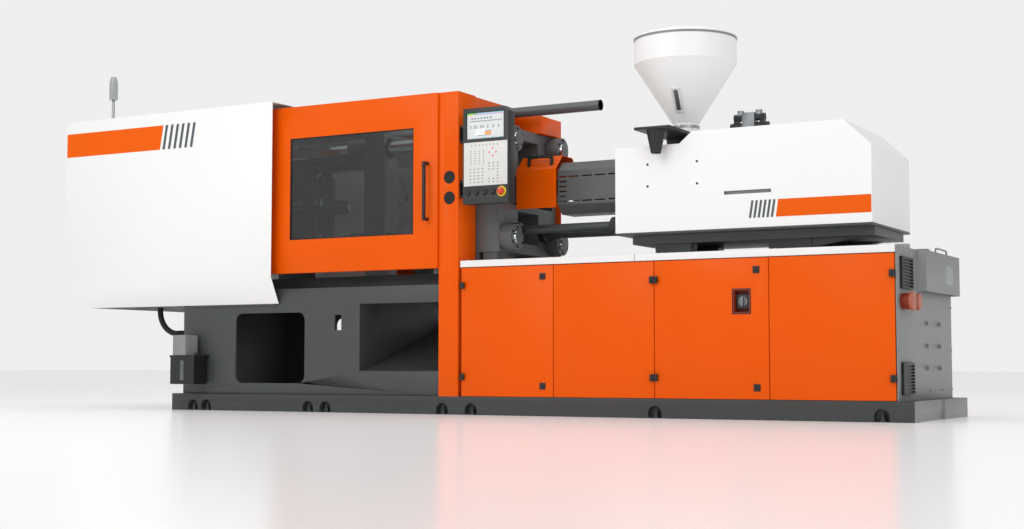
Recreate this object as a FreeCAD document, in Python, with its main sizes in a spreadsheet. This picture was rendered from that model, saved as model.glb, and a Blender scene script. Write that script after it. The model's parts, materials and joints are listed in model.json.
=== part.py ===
"""Horizontal injection moulding machine with a toggle clamp, as a parametric document.

Frame: millimetres, +X from the clamp end to the injection end, -Y towards the operator,
+Z up, with the origin on the floor under the middle of the machine.
Every driving dimension is a cell of the sheet "sizes"; every piece is bound to those cells.
"""

import FreeCAD, Part
import math
import os
import re

import Sketcher

# Driving dimensions in millimetres (angles in degrees, counts as whole numbers).
SIZES = {
    # whole machine
    "bed_length": 4400,
    "bed_width": 1040,
    "skirt_height": 97,
    "cover_overhang": 826,
    "end_base_depth": 26,
    "axis_height": 1230,
    "lube_reach": 634,
    "fit_gap": 0.3,
    "run_gap": 0.05,
    "sheet_wall": 3,
    "plate_wall": 12,
    # base
    "rail_width": 120,
    "arch_width": 74,
    "arch_height": 62,
    "arch_depth": 40,
    "cabinet_inset": 2010,
    "cabinet_height": 786,
    "table_thickness": 35,
    "door_thickness": 22,
    "door_gap": 4,
    "door_one_width": 556,
    "door_two_width": 568,
    "door_three_width": 600,
    "door_four_width": 610,
    "post_width": 40,
    "hinge_length": 34,
    "hinge_radius": 9,
    "isolator_width": 90,
    "isolator_height": 118,
    "clamp_bed_top": 700,
    "clamp_bed_inset": 71,
    "window_left": 394,
    "window_length": 498,
    "window_low": 161,
    "window_high": 563,
    "window_corner": 46,
    "drop_length": 527,
    "drop_low": 231,
    "drop_high": 604,
    # clamp unit
    "tie_spacing": 540,
    "tie_radius": 39,
    "platen_height": 700,
    "platen_width": 660,
    "fixed_platen_face": 120,
    "fixed_platen_depth": 215,
    "daylight": 535,
    "moving_plate_depth": 137,
    "boss_length": 118,
    "boss_radius": 66,
    "link_length": 200,
    "link_offset": 295,
    "eye_radius": 52,
    "pin_radius": 26,
    "lug_reach": 208,
    "end_lug_reach": 215,
    "end_platen_depth": 200,
    "nut_length": 92,
    "nut_radius": 70,
    "clamp_cylinder_radius": 78,
    "clamp_cylinder_length": 520,
    "guide_spacing": 300,
    "guide_radius": 24,
    "locating_bore_radius": 62.5,
    "mould_bolt_radius": 8,
    "mould_bolt_spacing": 350,
    "mould_bolt_depth": 32,
    # guards
    "guard_top": 1742,
    "guard_width": 121,
    "guard_depth": 184,
    "guard_hole_radius": 32,
    "gate_thickness": 38,
    "gate_length": 1131,
    "gate_travel": 900,
    "view_left": 136,
    "view_length": 839,
    "view_low": 976,
    "view_high": 1558,
    "pane_thickness": 6,
    "handle_reach": 48,
    "handle_height": 320,
    "handle_section": 16,
    "cover_depth": 1180,
    "cover_top": 1775,
    "cover_knee": 767,
    "cover_foot": 616,
    "cover_tuck": 75,
    "cover_end_tuck": 147,
    "cover_right": 1016,
    # injection unit
    "barrel_radius": 55,
    "screw_radius": 22,
    "barrel_start": 232,
    "feed_block_length": 190,
    "barrel_cover_half": 122,
    "barrel_cover_top": 1375,
    "barrel_cover_low": 1089,
    "barrel_cover_start": 587,
    "injection_left": 1039,
    "injection_right": 2392,
    "injection_half": 342,
    "injection_low": 946,
    "injection_top": 1451,
    "injection_step": 1392,
    "injection_shoulder": 1322,
    "carriage_low": 846,
    "rail_half_gauge": 190,
    "traverse_offset": 160,
    "traverse_height": 1005,
    "traverse_rod_radius": 25,
    "traverse_cylinder_radius": 48,
    "injection_stroke": 200,
    "hopper_x": 1294,
    "hopper_radius": 272,
    "hopper_base": 1507,
    "hopper_neck": 1544,
    "hopper_shoulder": 1863,
    "hopper_rim": 2001,
    "throat_radius": 62,
    "hopper_slide": 395,
    # control panel
    "panel_left": 248,
    "panel_width": 277,
    "panel_height": 512,
    "panel_depth": 70,
    "panel_front": 566,
    "panel_low": 1118,
    "button_radius": 13,
    "stop_radius": 20,
}

# Places worked out from the driving dimensions, each spelt as a formula of named sizes.
DERIVED = {
    "machine_length": "bed_length + cover_overhang + end_base_depth",
    "cover_left": "-machine_length / 2",
    "bed_left": "cover_left + cover_overhang",
    "bed_right": "bed_left + bed_length",
    "bed_half": "bed_width / 2",
    "cabinet_left": "bed_left + cabinet_inset",
    "table_top": "cabinet_height + table_thickness",
    "door_one": "cabinet_left",
    "door_two": "door_one + door_one_width",
    "door_three": "door_two + door_two_width",
    "door_four": "door_three + door_three_width",
    "cabinet_right": "door_four + door_four_width",
    "clamp_left": "bed_left + clamp_bed_inset",
    "column_left": "fixed_platen_face - 51",
    "column_right": "column_left + guard_width",
    "column_front": "-bed_half",
    "tie_half": "tie_spacing / 2",
    "platen_half": "platen_height / 2",
    "platen_side": "platen_width / 2",
    "moving_face": "fixed_platen_face - daylight",
    "moving_back": "moving_face - moving_plate_depth",
    "platen_pivot": "moving_back - lug_reach",
    "end_pivot": "platen_pivot - 2 * link_length",
    "end_front": "end_pivot - end_lug_reach",
    "end_back": "end_front - end_platen_depth",
    "fixed_back": "fixed_platen_face + fixed_platen_depth",
    "knee_x": "end_pivot + link_length",
    "cover_half": "cover_depth / 2",
    "cover_edge": "-cover_right",
    "gate_front": "-bed_half - 15",
    "gate_right": "column_left - door_gap / 4",
    "gate_left": "gate_right - gate_length",
    "view_start": "gate_left + view_left",
    "panel_right": "panel_left + panel_width",
    "panel_top": "panel_low + panel_height",
}

doc = FreeCAD.newDocument("moulding_machine")
sheet = doc.addObject("Spreadsheet::Sheet", "sizes")
for row, (alias, number) in enumerate(SIZES.items(), start=1):
    sheet.set(f"A{row}", alias)
    sheet.set(f"B{row}", str(number))
    sheet.setAlias(f"B{row}", alias)
doc.recompute()

FACING = {
    "x": FreeCAD.Rotation(FreeCAD.Vector(0, 0, 1), FreeCAD.Vector(1, 0, 0)),
    "y": FreeCAD.Rotation(FreeCAD.Vector(0, 0, 1), FreeCAD.Vector(0, 1, 0)),
    "z": FreeCAD.Rotation(),
}
SKETCH_PLANES = {"x": "YZ_Plane", "y": "XZ_Plane", "z": "XY_Plane"}
pieces = {}


def ex(text):
    """Spell a formula with each derived name opened out and each size read from the sheet."""

    def opened(match):
        word = match.group(0)
        if word in DERIVED:
            return "(" + ex(DERIVED[word]) + ")"
        return "sizes." + word if word in SIZES else word

    return re.sub(r"[a-z_]+", opened, str(text))


def bind(thing, **formulas):
    """Bind properties of an object; a double underscore in a name stands for a dot."""
    for name, text in formulas.items():
        thing.setExpression(name.replace("__", "."), ex(text))
    return thing


def place(thing, x, y, z):
    """Bind where an object stands."""
    return bind(thing, Placement__Base__x=x, Placement__Base__y=y, Placement__Base__z=z)


def block(x, y, z):
    """Box between low and high formulas along each axis."""
    box = doc.addObject("Part::Box", "block")
    bind(box, Length=f"({x[1]}) - ({x[0]})", Width=f"({y[1]}) - ({y[0]})")
    bind(box, Height=f"({z[1]}) - ({z[0]})")
    return place(box, x[0], y[0], z[0])


def lift(axis, span, across):
    """Corner of a round piece that runs along an axis from the low end of its span."""
    first, second = across
    return {"x": (span[0], first, second), "y": (first, span[0], second),
            "z": (first, second, span[0])}[axis]


def rod(axis, radius, span, across):
    """Cylinder along an axis between two formulas, centred at the other two coordinates."""
    cylinder = doc.addObject("Part::Cylinder", "rod")
    cylinder.Placement.Rotation = FACING[axis]
    bind(cylinder, Radius=radius, Height=f"({span[1]}) - ({span[0]})")
    return place(cylinder, *lift(axis, span, across))


def taper(axis, low_radius, high_radius, span, across):
    """Cone frustum along an axis."""
    cone = doc.addObject("Part::Cone", "taper")
    cone.Placement.Rotation = FACING[axis]
    bind(cone, Radius1=low_radius, Radius2=high_radius, Height=f"({span[1]}) - ({span[0]})")
    return place(cone, *lift(axis, span, across))


def ring(axis, outer, inner, span, across):
    """Tube or washer along an axis."""
    return cut(rod(axis, outer, span, across), [rod(axis, inner, span, across)])


def fuse(parts):
    """One solid of several that touch."""
    parts = list(parts)
    if len(parts) == 1:
        return parts[0]
    joined = doc.addObject("Part::MultiFuse", "joined")
    joined.Shapes = parts
    joined.Refine = True
    return joined


def group(parts):
    """Several separate solids kept as one sub-part."""
    together = doc.addObject("Part::Compound", "together")
    together.Links = list(parts)
    return together


def cut(base, tools):
    """Base with every tool taken away."""
    result = doc.addObject("Part::Cut", "shaped")
    result.Base = base
    result.Tool = group(tools)
    return result


def common(first, second):
    """What two shapes share."""
    shared = doc.addObject("Part::Common", "shared")
    shared.Base = first
    shared.Tool = second
    return shared


def draw_outline(sketch, corners):
    """Closed outline of straight lines whose corners are bound to pairs of formulas."""
    count = len(corners)
    turns = [2 * math.pi * step / count for step in range(count)]
    rough = [FreeCAD.Vector(math.cos(turn), math.sin(turn), 0) for turn in turns]
    for step in range(count):
        sketch.addGeometry(Part.LineSegment(rough[step], rough[(step + 1) % count]))
    for step in range(count):
        sketch.addConstraint(Sketcher.Constraint("Coincident", step, 2, (step + 1) % count, 1))
    for step, corner in enumerate(corners):
        for kind, text, start in zip(("DistanceX", "DistanceY"), corner, rough[step]):
            number = sketch.addConstraint(Sketcher.Constraint(kind, -1, 1, step, 1, start))
            sketch.setExpression(f"Constraints[{number}]", ex(text))


def prism(axis, corners, span):
    """Padded outline. Corners are pairs of formulas: (y, z) for x, (x, z) for y, (x, y) for z."""
    body = doc.addObject("PartDesign::Body", "prism")
    sketch = body.newObject("Sketcher::SketchObject", "outline")
    plane = [item for item in body.Origin.OriginFeatures if item.Role == SKETCH_PLANES[axis]][0]
    sketch.AttachmentSupport = [(plane, "")]
    sketch.MapMode = "FlatFace"
    draw_outline(sketch, corners)
    pad = body.newObject("PartDesign::Pad", "pad")
    pad.Profile = sketch
    pad.SideType = "Symmetric"
    bind(pad, Length=f"({span[1]}) - ({span[0]})")
    middle = f"(({span[0]}) + ({span[1]})) / 2"
    return bind(body, **{f"Placement__Base__{axis}": middle})


def mirrored(thing, axis):
    """The same shape on the other side of the machine's middle plane across an axis."""
    twin = doc.addObject("Part::Mirroring", "twin")
    twin.Source = thing
    twin.Normal = FreeCAD.Vector(axis == "x", axis == "y", axis == "z")
    return twin


def piece(name, thing):
    """Name a finished sub-part: its label is its node and its file."""
    thing.Label = name
    pieces[name] = thing
    return thing


def both_sides(maker):
    """What a maker builds on the operator's side (-1) and on the far side (+1)."""
    return [maker(side) for side in (-1, 1)]


def make_base_frame():
    """Welded base: two side rails with arched anchor pockets, tied by cross rails."""
    inner = "bed_half - rail_width"
    low, high = "0", "skirt_height"
    rails = [
        block(("bed_left", "bed_right"), ("-bed_half", f"-({inner})"), (low, high)),
        block(("bed_left", "bed_right"), (inner, "bed_half"), (low, high)),
    ]
    ties = ["bed_left", "-rail_width / 2", "cabinet_left - rail_width", "cabinet_left", "door_three",
            "bed_right - rail_width"]
    for start in ties:
        rails.append(block((start, f"{start} + rail_width"), (f"-({inner})", inner), (low, high)))
    end = "bed_right + end_base_depth"
    rails.append(block(("bed_right", end), ("-bed_half", "bed_half"), (low, high)))
    arches = []
    for place_x in ANCHORS:
        for side in (-1, 1):
            face = f"{side} * bed_half"
            deep = f"{side} * (bed_half - arch_depth)"
            span = (face, deep) if side < 0 else (deep, face)
            half = "arch_width / 2"
            straight = f"arch_height - {half}"
            arches.append(block((f"{place_x} - {half}", f"{place_x} + {half}"), span, (low, straight)))
            arches.append(rod("y", half, span, (place_x, straight)))
    recess = block((f"{end} - end_base_depth / 2", end), ("-bed_half * 0.8", "bed_half * 0.1"),
                   (low, high))
    piece("base_frame", cut(fuse(rails), arches + [recess]))


ANCHORS = ("bed_left + 160", "bed_left + 260", "cabinet_left - 1010", "cabinet_left - 890",
           "cabinet_left - 120", "cabinet_left + 60", "cabinet_right - 70", "door_three")


def make_anchor_feet():
    """Steel anchor bolts with their nuts, standing in the arched pockets."""
    feet = []
    for place_x in ANCHORS:
        for side in (-1, 1):
            across = (place_x, f"{side} * (bed_half - arch_depth / 2)")
            pad = rod("z", "arch_depth / 2 - fit_gap", ("0", "10"), across)
            stud = rod("z", "7", ("0", "44"), across)
            nut = rod("z", "13", ("10", "24"), across)
            feet.append(fuse([pad, stud, nut]))
    piece("anchor_bolts", group(feet))


def make_clamp_bed():
    """Box frame under the clamp with a window, a small port and the part-drop recess."""
    wall = "plate_wall"
    right = "cabinet_left - fit_gap"
    bed_z = ("skirt_height", "clamp_bed_top")
    half = "bed_half - 15"
    shell = block(("clamp_left", right), (f"-({half})", half), bed_z)
    inside_y = (f"-({half}) + {wall}", f"({half}) - {wall}")
    drop_left = "window_start + window_length + 379"
    bulkhead = f"{drop_left} - {wall}"
    bays = [(f"clamp_left + {wall}", bulkhead), (drop_left, f"{right} - {wall}")]
    hollows = [block(bay, inside_y, (f"skirt_height + {wall}", "clamp_bed_top")) for bay in bays]
    through = ("-bed_half", "bed_half")
    window = (("window_start", "window_start + window_length"), through, ("window_low", "window_high"))
    port = (("bulkhead_x - 158", "bulkhead_x - 113"), through, ("460", "545"))
    drop = ((drop_left, f"{drop_left} + drop_length"), through, ("drop_low", "drop_high"))
    rounded = cut_rounded_window(window)
    notches = [block(("column_left - fit_gap", "cabinet_left"), y, ("skirt_height - 1", "clamp_bed_top + 1"))
               for y in (("-bed_half", "-post_inner + fit_gap"), ("post_inner - fit_gap", "bed_half"))]
    walls = cut(shell, hollows + notches + [rounded, block(*port), block(*drop)])
    piece("clamp_bed", group([fuse([walls] + clamp_ways() + cover_ledges()), part_chute()]))


def cut_rounded_window(window):
    """Window tool with round corners."""
    (left, right), through, (low, high) = window
    corner = "window_corner"
    parts = [
        block((f"{left} + {corner}", f"{right} - {corner}"), through, (low, high)),
        block((left, right), through, (f"{low} + {corner}", f"{high} - {corner}")),
    ]
    for x in (f"{left} + {corner}", f"{right} - {corner}"):
        for z in (f"{low} + {corner}", f"{high} - {corner}"):
            parts.append(rod("y", corner, through, (x, z)))
    return fuse(parts)


def clamp_ways():
    """Two machined ways on the clamp bed that the platens' feet stand on, with cross ties."""
    def way(side):
        inner = ("-330", "-190") if side < 0 else ("190", "330")
        return block(("clamp_left + 40", "cabinet_left - 6"), inner, ("clamp_bed_top", "way_top"))
    cross = [block((x, f"{x} + 80"), ("-post_inner + 16", "post_inner - 16"),
                   ("clamp_bed_top - 60", "clamp_bed_top"))
             for x in ("clamp_left + 40", "bulkhead_x - 200", "cabinet_left - 94")]
    cross += [block((x, f"{x} + 60"), ("-bed_half + 16", "bed_half - 16"),
                    ("clamp_bed_top - 60", "clamp_bed_top"))
              for x in ("clamp_left + 60", "bulkhead_x - 190")]
    return both_sides(way) + cross


def cover_ledges():
    """Angles along both sides of the bed that carry the foot of the clamp cover."""
    edge = "cover_half - cover_tuck - sheet_wall - fit_gap"
    return [block(("clamp_left + 60", "cover_edge - 20"), y, ("cover_foot - 12", "cover_foot + 6"))
            for y in ((f"-({edge})", "-bed_half + 16"), ("bed_half - 16", edge))]


def part_chute():
    """Sloped sheet that lets moulded parts fall to the operator's side."""
    left, right = "bulkhead_x + plate_wall + fit_gap", "column_left - 2 * fit_gap"
    rise = [("-bed_half + 30", "drop_low"), ("bed_half - 60", "drop_high - 80"),
            ("bed_half - 60", "drop_high - 80 + sheet_wall"), ("-bed_half + 30", "drop_low + sheet_wall")]
    return prism("x", rise, (left, right))


def make_cabinet():
    """Frame of the injection end: tray, posts and top plate round an open bay."""
    posts = []
    for x in ("cabinet_left", "door_two - post_width / 2", "door_three - post_width / 2",
              "door_four - post_width / 2", "cabinet_right - post_width"):
        for y in (("-cabinet_front", "-cabinet_front + post_width"),
                  ("cabinet_front - post_width", "cabinet_front")):
            posts.append(block((x, f"{x} + post_width"), y, ("skirt_height", "cabinet_height - 20")))
    deck = block(("cabinet_left", "cabinet_right"), ("-cabinet_front", "cabinet_front"),
                 ("cabinet_height - 20", "cabinet_height"))
    tray = block(("cabinet_left", "cabinet_right"), ("-cabinet_front", "cabinet_front"),
                 ("skirt_height", "skirt_height + 6"))
    piece("cabinet_frame", group([fuse(posts + [deck, tray])] + carriage_rails()))


def make_table():
    """White tread plate over the cabinet, notched round the fixed guard."""
    plate = block(("cabinet_left - 4", "cabinet_right + 2"), ("-bed_half - 4", "bed_half + 4"),
                  ("cabinet_height", "table_top"))
    piece("table_plate", plate)


def make_doors():
    """Four orange cabinet doors and the knuckles of their hinges."""
    doors = {"one": ("door_one", "door_two"), "two": ("door_two", "door_three"),
             "three": ("door_three", "door_four"), "four": ("door_four", "cabinet_right")}
    for name, (left, right) in doors.items():
        face = ("-bed_half", "-bed_half + door_thickness")
        x = (f"{left} + door_gap / 2", f"{right} - door_gap / 2")
        leaf = block(x, face, ("skirt_height + door_gap / 2", "cabinet_height - door_gap"))
        cuts = [block(*isolator_pocket("0"))] if name == "three" else []
        piece(f"door_{name}", cut(leaf, cuts) if cuts else leaf)
    knuckles = hinge_leaves()
    for x in ("door_one + 16", "door_three - 13", "door_three + 13", "cabinet_right - 16"):
        for z in HINGE_HEIGHTS:
            knuckles.append(rod("z", "hinge_radius", (f"{z} - hinge_length / 2", f"{z} + hinge_length / 2"),
                                (x, "-bed_half - hinge_radius - fit_gap")))
    piece("door_hinges", fuse(knuckles))


def hinge_leaves():
    """Leaf plates that pass between the door edges and carry the knuckles on the posts."""
    leaves = []
    middle = "-bed_half - hinge_radius - fit_gap"
    for edge, left, right in (("door_one", "-1", "16"), ("door_three", "-13", "13"),
                              ("cabinet_right", "-16", "1")):
        for z in HINGE_HEIGHTS:
            tall = (f"{z} - hinge_length / 2", f"{z} + hinge_length / 2")
            leaves.append(block((f"{edge} + ({left})", f"{edge} + ({right})"),
                                (f"{middle} - 2", f"{middle} + 2"), tall))
            leaves.append(block((f"{edge} - 1", f"{edge} + 1"), (middle, "-cabinet_front"), tall))
    return leaves


HINGE_HEIGHTS = ("cabinet_height - 98", "skirt_height + 104")


def isolator_pocket(grow):
    """Low and high corners of the pocket in the third door for the main isolator."""
    half_x, half_z = f"(isolator_width / 2 + {grow})", f"(isolator_height / 2 + {grow})"
    return ((f"isolator_x - {half_x}", f"isolator_x + {half_x}"),
            ("-bed_half - 1", "-bed_half + door_thickness + 1"),
            (f"isolator_z - {half_z}", f"isolator_z + {half_z}"))


def make_isolator():
    """Main isolator: a recessed box with its rotary handle."""
    (left, right), _, (low, high) = isolator_pocket("-fit_gap")
    back = "-bed_half + 60"
    box = block((left, right), ("-bed_half", back), (low, high))
    hollow = block((f"{left} + 6", f"{right} - 6"), ("-bed_half - 1", f"{back} - 8"),
                   (f"{low} + 6", f"{high} - 6"))
    piece("isolator_box", cut(box, [hollow]))
    centre = ("isolator_x", "isolator_z")
    dial = rod("y", "24", ("-bed_half + 18", f"{back} - 8 - fit_gap"), centre)
    grip = block(("isolator_x - 6", "isolator_x + 6"), ("-bed_half + 4", "-bed_half + 19"),
                 ("isolator_z - 22", "isolator_z + 22"))
    piece("isolator_handle", fuse([dial, grip]))


def make_rear_panels():
    """Fixed panels on the far side of the cabinet."""
    spans = [("door_one", "door_two"), ("door_two", "door_three"), ("door_three", "door_four"),
             ("door_four", "cabinet_right")]
    panels = [block((f"{left} + door_gap / 2", f"{right} - door_gap / 2"),
                    ("cabinet_front + fit_gap", "bed_half - 6"),
                    ("skirt_height + door_gap / 2", "cabinet_height - door_gap")) for left, right in spans]
    piece("rear_panels", group(panels))


DERIVED.update({
    "window_start": "clamp_left + window_left",
    "bulkhead_x": "window_start + window_length + 379 - plate_wall",
    "way_top": "clamp_bed_top + 70",
    "cabinet_front": "bed_half - door_thickness - door_gap",
    "isolator_x": "door_three + 461",
    "isolator_z": "cabinet_height - 214",
    "post_inner": "bed_half - guard_depth",
})


def up(offset):
    """Height of a place by its offset above the machine's axis."""
    return f"axis_height + ({offset})"


CORNERS = [(y, z) for y in ("-tie_half", "tie_half") for z in ("-tie_half", "tie_half")]
PLATEN_Y = ("-platen_side", "platen_side")
PLATEN_Z = ("axis_height - platen_half", "axis_height + platen_half")


def tie_bores(radius, span):
    """Bores for the four tie bars."""
    return [rod("x", radius, span, (y, up(z))) for y, z in CORNERS]


def platen_feet(span):
    """Two feet that carry a platen on the ways of the clamp bed."""
    z = ("way_top + fit_gap", "axis_height - platen_half + 1")
    return [block(span, y, z) for y in (("-320", "-200"), ("200", "320"))]


def make_fixed_platen():
    """Cast platen at the injection end: locating bore, mould bolt holes, ribbed back."""
    body = [block(("fixed_platen_face", "fixed_back"), PLATEN_Y, PLATEN_Z)]
    body += platen_feet(("fixed_platen_face + 10", "cabinet_left - 8"))
    for y in (("-320", "-200"), ("200", "320")):
        body.append(block(("cabinet_left + 20", "fixed_back - 20"), y,
                          ("table_top + fit_gap", "axis_height - platen_half + 1")))
    cuts = tie_bores("tie_radius + fit_gap", ("fixed_platen_face - 1", "fixed_back + 1"))
    cuts.append(rod("x", "locating_bore_radius", ("fixed_platen_face - 1", "fixed_platen_face + 40"),
                    ("0", "axis_height")))
    cuts.append(rod("x", "barrel_radius + 22", ("fixed_platen_face + 39", "fixed_back + 1"),
                    ("0", "axis_height")))
    pocket_x = ("fixed_platen_face + 90", "fixed_back + 1")
    for low, high in (("-platen_half + 60", "-tie_half / 2 + 20"), ("tie_half / 2 - 20", "platen_half - 60")):
        cuts.append(block(pocket_x, ("-120", "120"), (up(low), up(high))))
        cuts.append(block(pocket_x, (low, high), (up("-80"), up("80"))))
    cuts += mould_holes("fixed_platen_face", "1")
    pin = rod("x", "5", ("fixed_back - 1", "barrel_cover_start - 30"), ("purge_hinge_y", "purge_shoulder"))
    piece("fixed_platen", fuse([cut(fuse(body), cuts), pin]))


def mould_holes(face, inward):
    """Rows of tapped holes in a mould face; inward is the sign of the way into the platen."""
    spans = {"1": (f"{face} - 1", f"{face} + mould_bolt_depth"),
             "-1": (f"{face} - mould_bolt_depth", f"{face} + 1")}
    half = "mould_bolt_spacing / 2"
    holes = []
    for y in (f"-{half}", f"{half}"):
        for z in (f"-{half}", f"-{half} / 3", f"{half} / 3", half):
            holes.append(rod("x", "mould_bolt_radius", spans[inward], (y, up(z))))
    for y in (f"-{half} / 3", f"{half} / 3"):
        for z in (f"-{half}", half):
            holes.append(rod("x", "mould_bolt_radius", spans[inward], (y, up(z))))
    return holes


def make_moving_platen():
    """Cast platen that rides on the tie bars, with bushing bosses and link lugs behind."""
    body = [block(("moving_back", "moving_face"), PLATEN_Y, PLATEN_Z)]
    body += platen_feet(("moving_back", "moving_face"))
    boss_x = ("moving_back - boss_length", "moving_back + 1")
    for y, z in CORNERS:
        body.append(rod("x", "boss_radius", boss_x, (y, up(z))))
    for way in (-1, 1):
        for layer in PLATEN_LUGS:
            body.append(lug("platen_pivot", "moving_back + 1", way, layer))
    cuts = tie_bores("tie_radius + run_gap", ("platen_pivot - 200", "moving_face + 1"))
    cuts.append(rod("x", "ejector_radius + run_gap", ("moving_back - 1", "moving_face + 1"),
                    ("0", "axis_height")))
    cuts += mould_holes("moving_face", "-1")
    for y in ("-ejector_pitch", "ejector_pitch"):
        cuts.append(rod("x", "18", ("moving_back - 1", "moving_face + 1"), (y, "axis_height")))
    piece("moving_platen", group([cut(fuse(body), cuts), ejector_cylinder()]))


PLATEN_LUGS = (("-205", "-170"), ("170", "205"))
END_LUG = ("-55", "55")
FRONT_PLATES = (("-165", "-125"), ("125", "165"))
REAR_PLATES = (("-120", "-60"), ("60", "120"))
EAR_PLATES = (("-61", "-28"), ("28", "61"))
CROSS_LUGS = (("-52", "-28"), ("28", "52"))


def lug(pivot, root, way, layer):
    """Ear of a casting round a link pivot; way is +1 for the upper link, -1 for the lower."""
    height = up(f"{way} * link_offset")
    span = (f"{pivot}", root) if root.startswith("moving") else (root, f"{pivot}")
    arm = block(span, layer, (f"{height} - eye_radius", f"{height} + eye_radius"))
    return fuse([arm, rod("y", "eye_radius", layer, (pivot, height))])


def make_end_platen():
    """Rear cast platen that carries the toggle and the clamp cylinder."""
    body = [block(("end_back", "end_front"), PLATEN_Y, PLATEN_Z)]
    body += platen_feet(("end_back", "end_front"))
    for way in (-1, 1):
        body.append(lug("end_pivot", "end_front - 1", way, END_LUG))
    cuts = tie_bores("tie_radius + run_gap", ("end_back - 1", "end_front + 1"))
    cuts.append(rod("x", "crosshead_rod_radius + 0.6", ("end_back - 1", "end_front + 1"),
                    ("0", "axis_height")))
    for way in (-1, 1):
        cuts.append(rod("y", "pin_radius", ("-56", "56"), ("end_pivot", up(f"{way} * link_offset"))))
    pins = [rod("y", "pin_radius", ("-124", "124"), ("end_pivot", up(f"{way} * link_offset")))
            for way in (-1, 1)]
    piece("end_platen", group([cut(fuse(body), cuts)] + pins + height_nuts()))


def capsule(start, finish, layer, half, centre_start, centre_finish):
    """Link plate with a round eye at both ends, lying along X."""
    span = (start, finish)
    return [block(span, layer, (f"{centre_start} - {half}", f"{centre_start} + {half}")),
            rod("y", "eye_radius", layer, (start, centre_start)),
            rod("y", "eye_radius", layer, (finish, centre_finish))]


def make_links():
    """Straight toggle: rear links on the end platen, front links to the moving platen."""
    for way, level in ((1, "upper"), (-1, "lower")):
        height = up(f"{way} * link_offset")
        ear = up(f"{way} * (link_offset - ear_drop)")
        halves = []
        for plate, ear_plate in zip(REAR_PLATES, EAR_PLATES):
            parts = capsule("end_pivot", "knee_x", plate, "34", height, height)
            parts.append(rod("y", "30", ear_plate, ("end_pivot + ear_reach", ear)))
            web = (f"{height} - 24", f"{height} + 24")
            parts.append(block(("end_pivot + ear_reach - 60", "end_pivot + ear_reach + 8"), ear_plate, web))
            holes = [rod("y", "pin_radius + run_gap", ("-130", "130"), ("end_pivot", height)),
                     rod("y", "pin_radius + fit_gap", ("-130", "130"), ("knee_x", height)),
                     rod("y", "12", ("-130", "130"), ("end_pivot + ear_reach", ear))]
            halves.append(cut(fuse(parts), holes))
        piece(f"rear_link_{level}", group(halves))
        plates = []
        for layer in FRONT_PLATES:
            parts = capsule("knee_x", "platen_pivot", layer, "36", height, height)
            holes = [rod("y", "pin_radius + run_gap", ("-170", "170"), ("knee_x", height)),
                     rod("y", "pin_radius", ("-170", "170"), ("platen_pivot", height))]
            plates.append(cut(fuse(parts), holes))
        pin = rod("y", "pin_radius", ("-168", "168"), ("knee_x", height))
        piece(f"front_link_{level}", group(plates + [pin]))


def make_crosshead():
    """Crosshead with its piston rod, on two guide bars, and its two short links."""
    centre = "end_pivot + crosshead_lead"
    x = (f"{centre} - 38", f"{centre} + 38")
    parts = [block(x, ("-guide_spacing / 2 - 44", "guide_spacing / 2 + 44"), (up("-38"), up("38")))]
    for layer in CROSS_LUGS:
        parts.append(block((f"{centre} - 28", f"{centre} + 28"), layer,
                           (up("-crosshead_rise"), up("crosshead_rise"))))
        for way in (-1, 1):
            parts.append(rod("y", "28", layer, (centre, up(f"{way} * crosshead_rise"))))
    bores = [rod("x", "guide_radius + run_gap", (f"{centre} - 60", f"{centre} + 60"), (y, "axis_height"))
             for y in ("-guide_spacing / 2", "guide_spacing / 2")]
    bores += [rod("y", "12 + run_gap", ("-60", "60"), (centre,
                                                       up(f"{way} * crosshead_rise"))) for way in (-1, 1)]
    bores.append(rod("x", "crosshead_rod_radius", (f"{centre} - 60", f"{centre} + 60"), ("0", "axis_height")))
    slide = cut(fuse(parts), bores)
    piston = rod("x", "clamp_cylinder_radius - 14", ("end_back - 230", "end_back - 190"),
                 ("0", "axis_height"))
    shaft = rod("x", "crosshead_rod_radius - fit_gap / 10", ("end_back - 191", f"{centre} + 38"),
                ("0", "axis_height"))
    piece("crosshead", group([slide, fuse([shaft, piston])]))
    for way, level in ((1, "upper"), (-1, "lower")):
        foot = up(f"{way} * crosshead_rise")
        head = up(f"{way} * (link_offset - ear_drop)")
        reach = "end_pivot + ear_reach"
        outline = [(f"{centre} - 20", foot), (f"{centre} + 20", foot), (f"{reach} + 20", head),
                   (f"{reach} - 20", head)]
        arm = prism("y", outline, ("-24", "24"))
        body = fuse([arm, rod("y", "24", ("-24", "24"), (centre, foot)),
                     rod("y", "24", ("-24", "24"), (reach, head))])
        pin = rod("y", "12", ("-52", "52"), (centre, foot))
        hole = rod("y", "13", ("-25", "25"), (reach, head))
        piece(f"crosshead_link_{level}", fuse([cut(body, [hole]), pin]))


def make_clamp_cylinder():
    """Hydraulic cylinder on the end platen that drives the crosshead."""
    x = ("end_back - clamp_cylinder_length", "end_back")
    tube = ring("x", "clamp_cylinder_radius", "clamp_cylinder_radius - 13.5", x, ("0", "axis_height"))
    flange = ring("x", "clamp_cylinder_radius + 30", "clamp_cylinder_radius - 1",
                  ("end_back - 30", "end_back"), ("0", "axis_height"))
    cap = rod("x", "clamp_cylinder_radius + 6", ("end_back - clamp_cylinder_length - 30",
              "end_back - clamp_cylinder_length + 0.5"), ("0", "axis_height"))
    bars = [rod("x", "guide_radius", ("end_front", "end_pivot + crosshead_lead + 70"), (y, "axis_height"))
            for y in ("-guide_spacing / 2", "guide_spacing / 2")]
    piece("clamp_cylinder", group([fuse([tube, flange, cap])] + bars))


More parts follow.
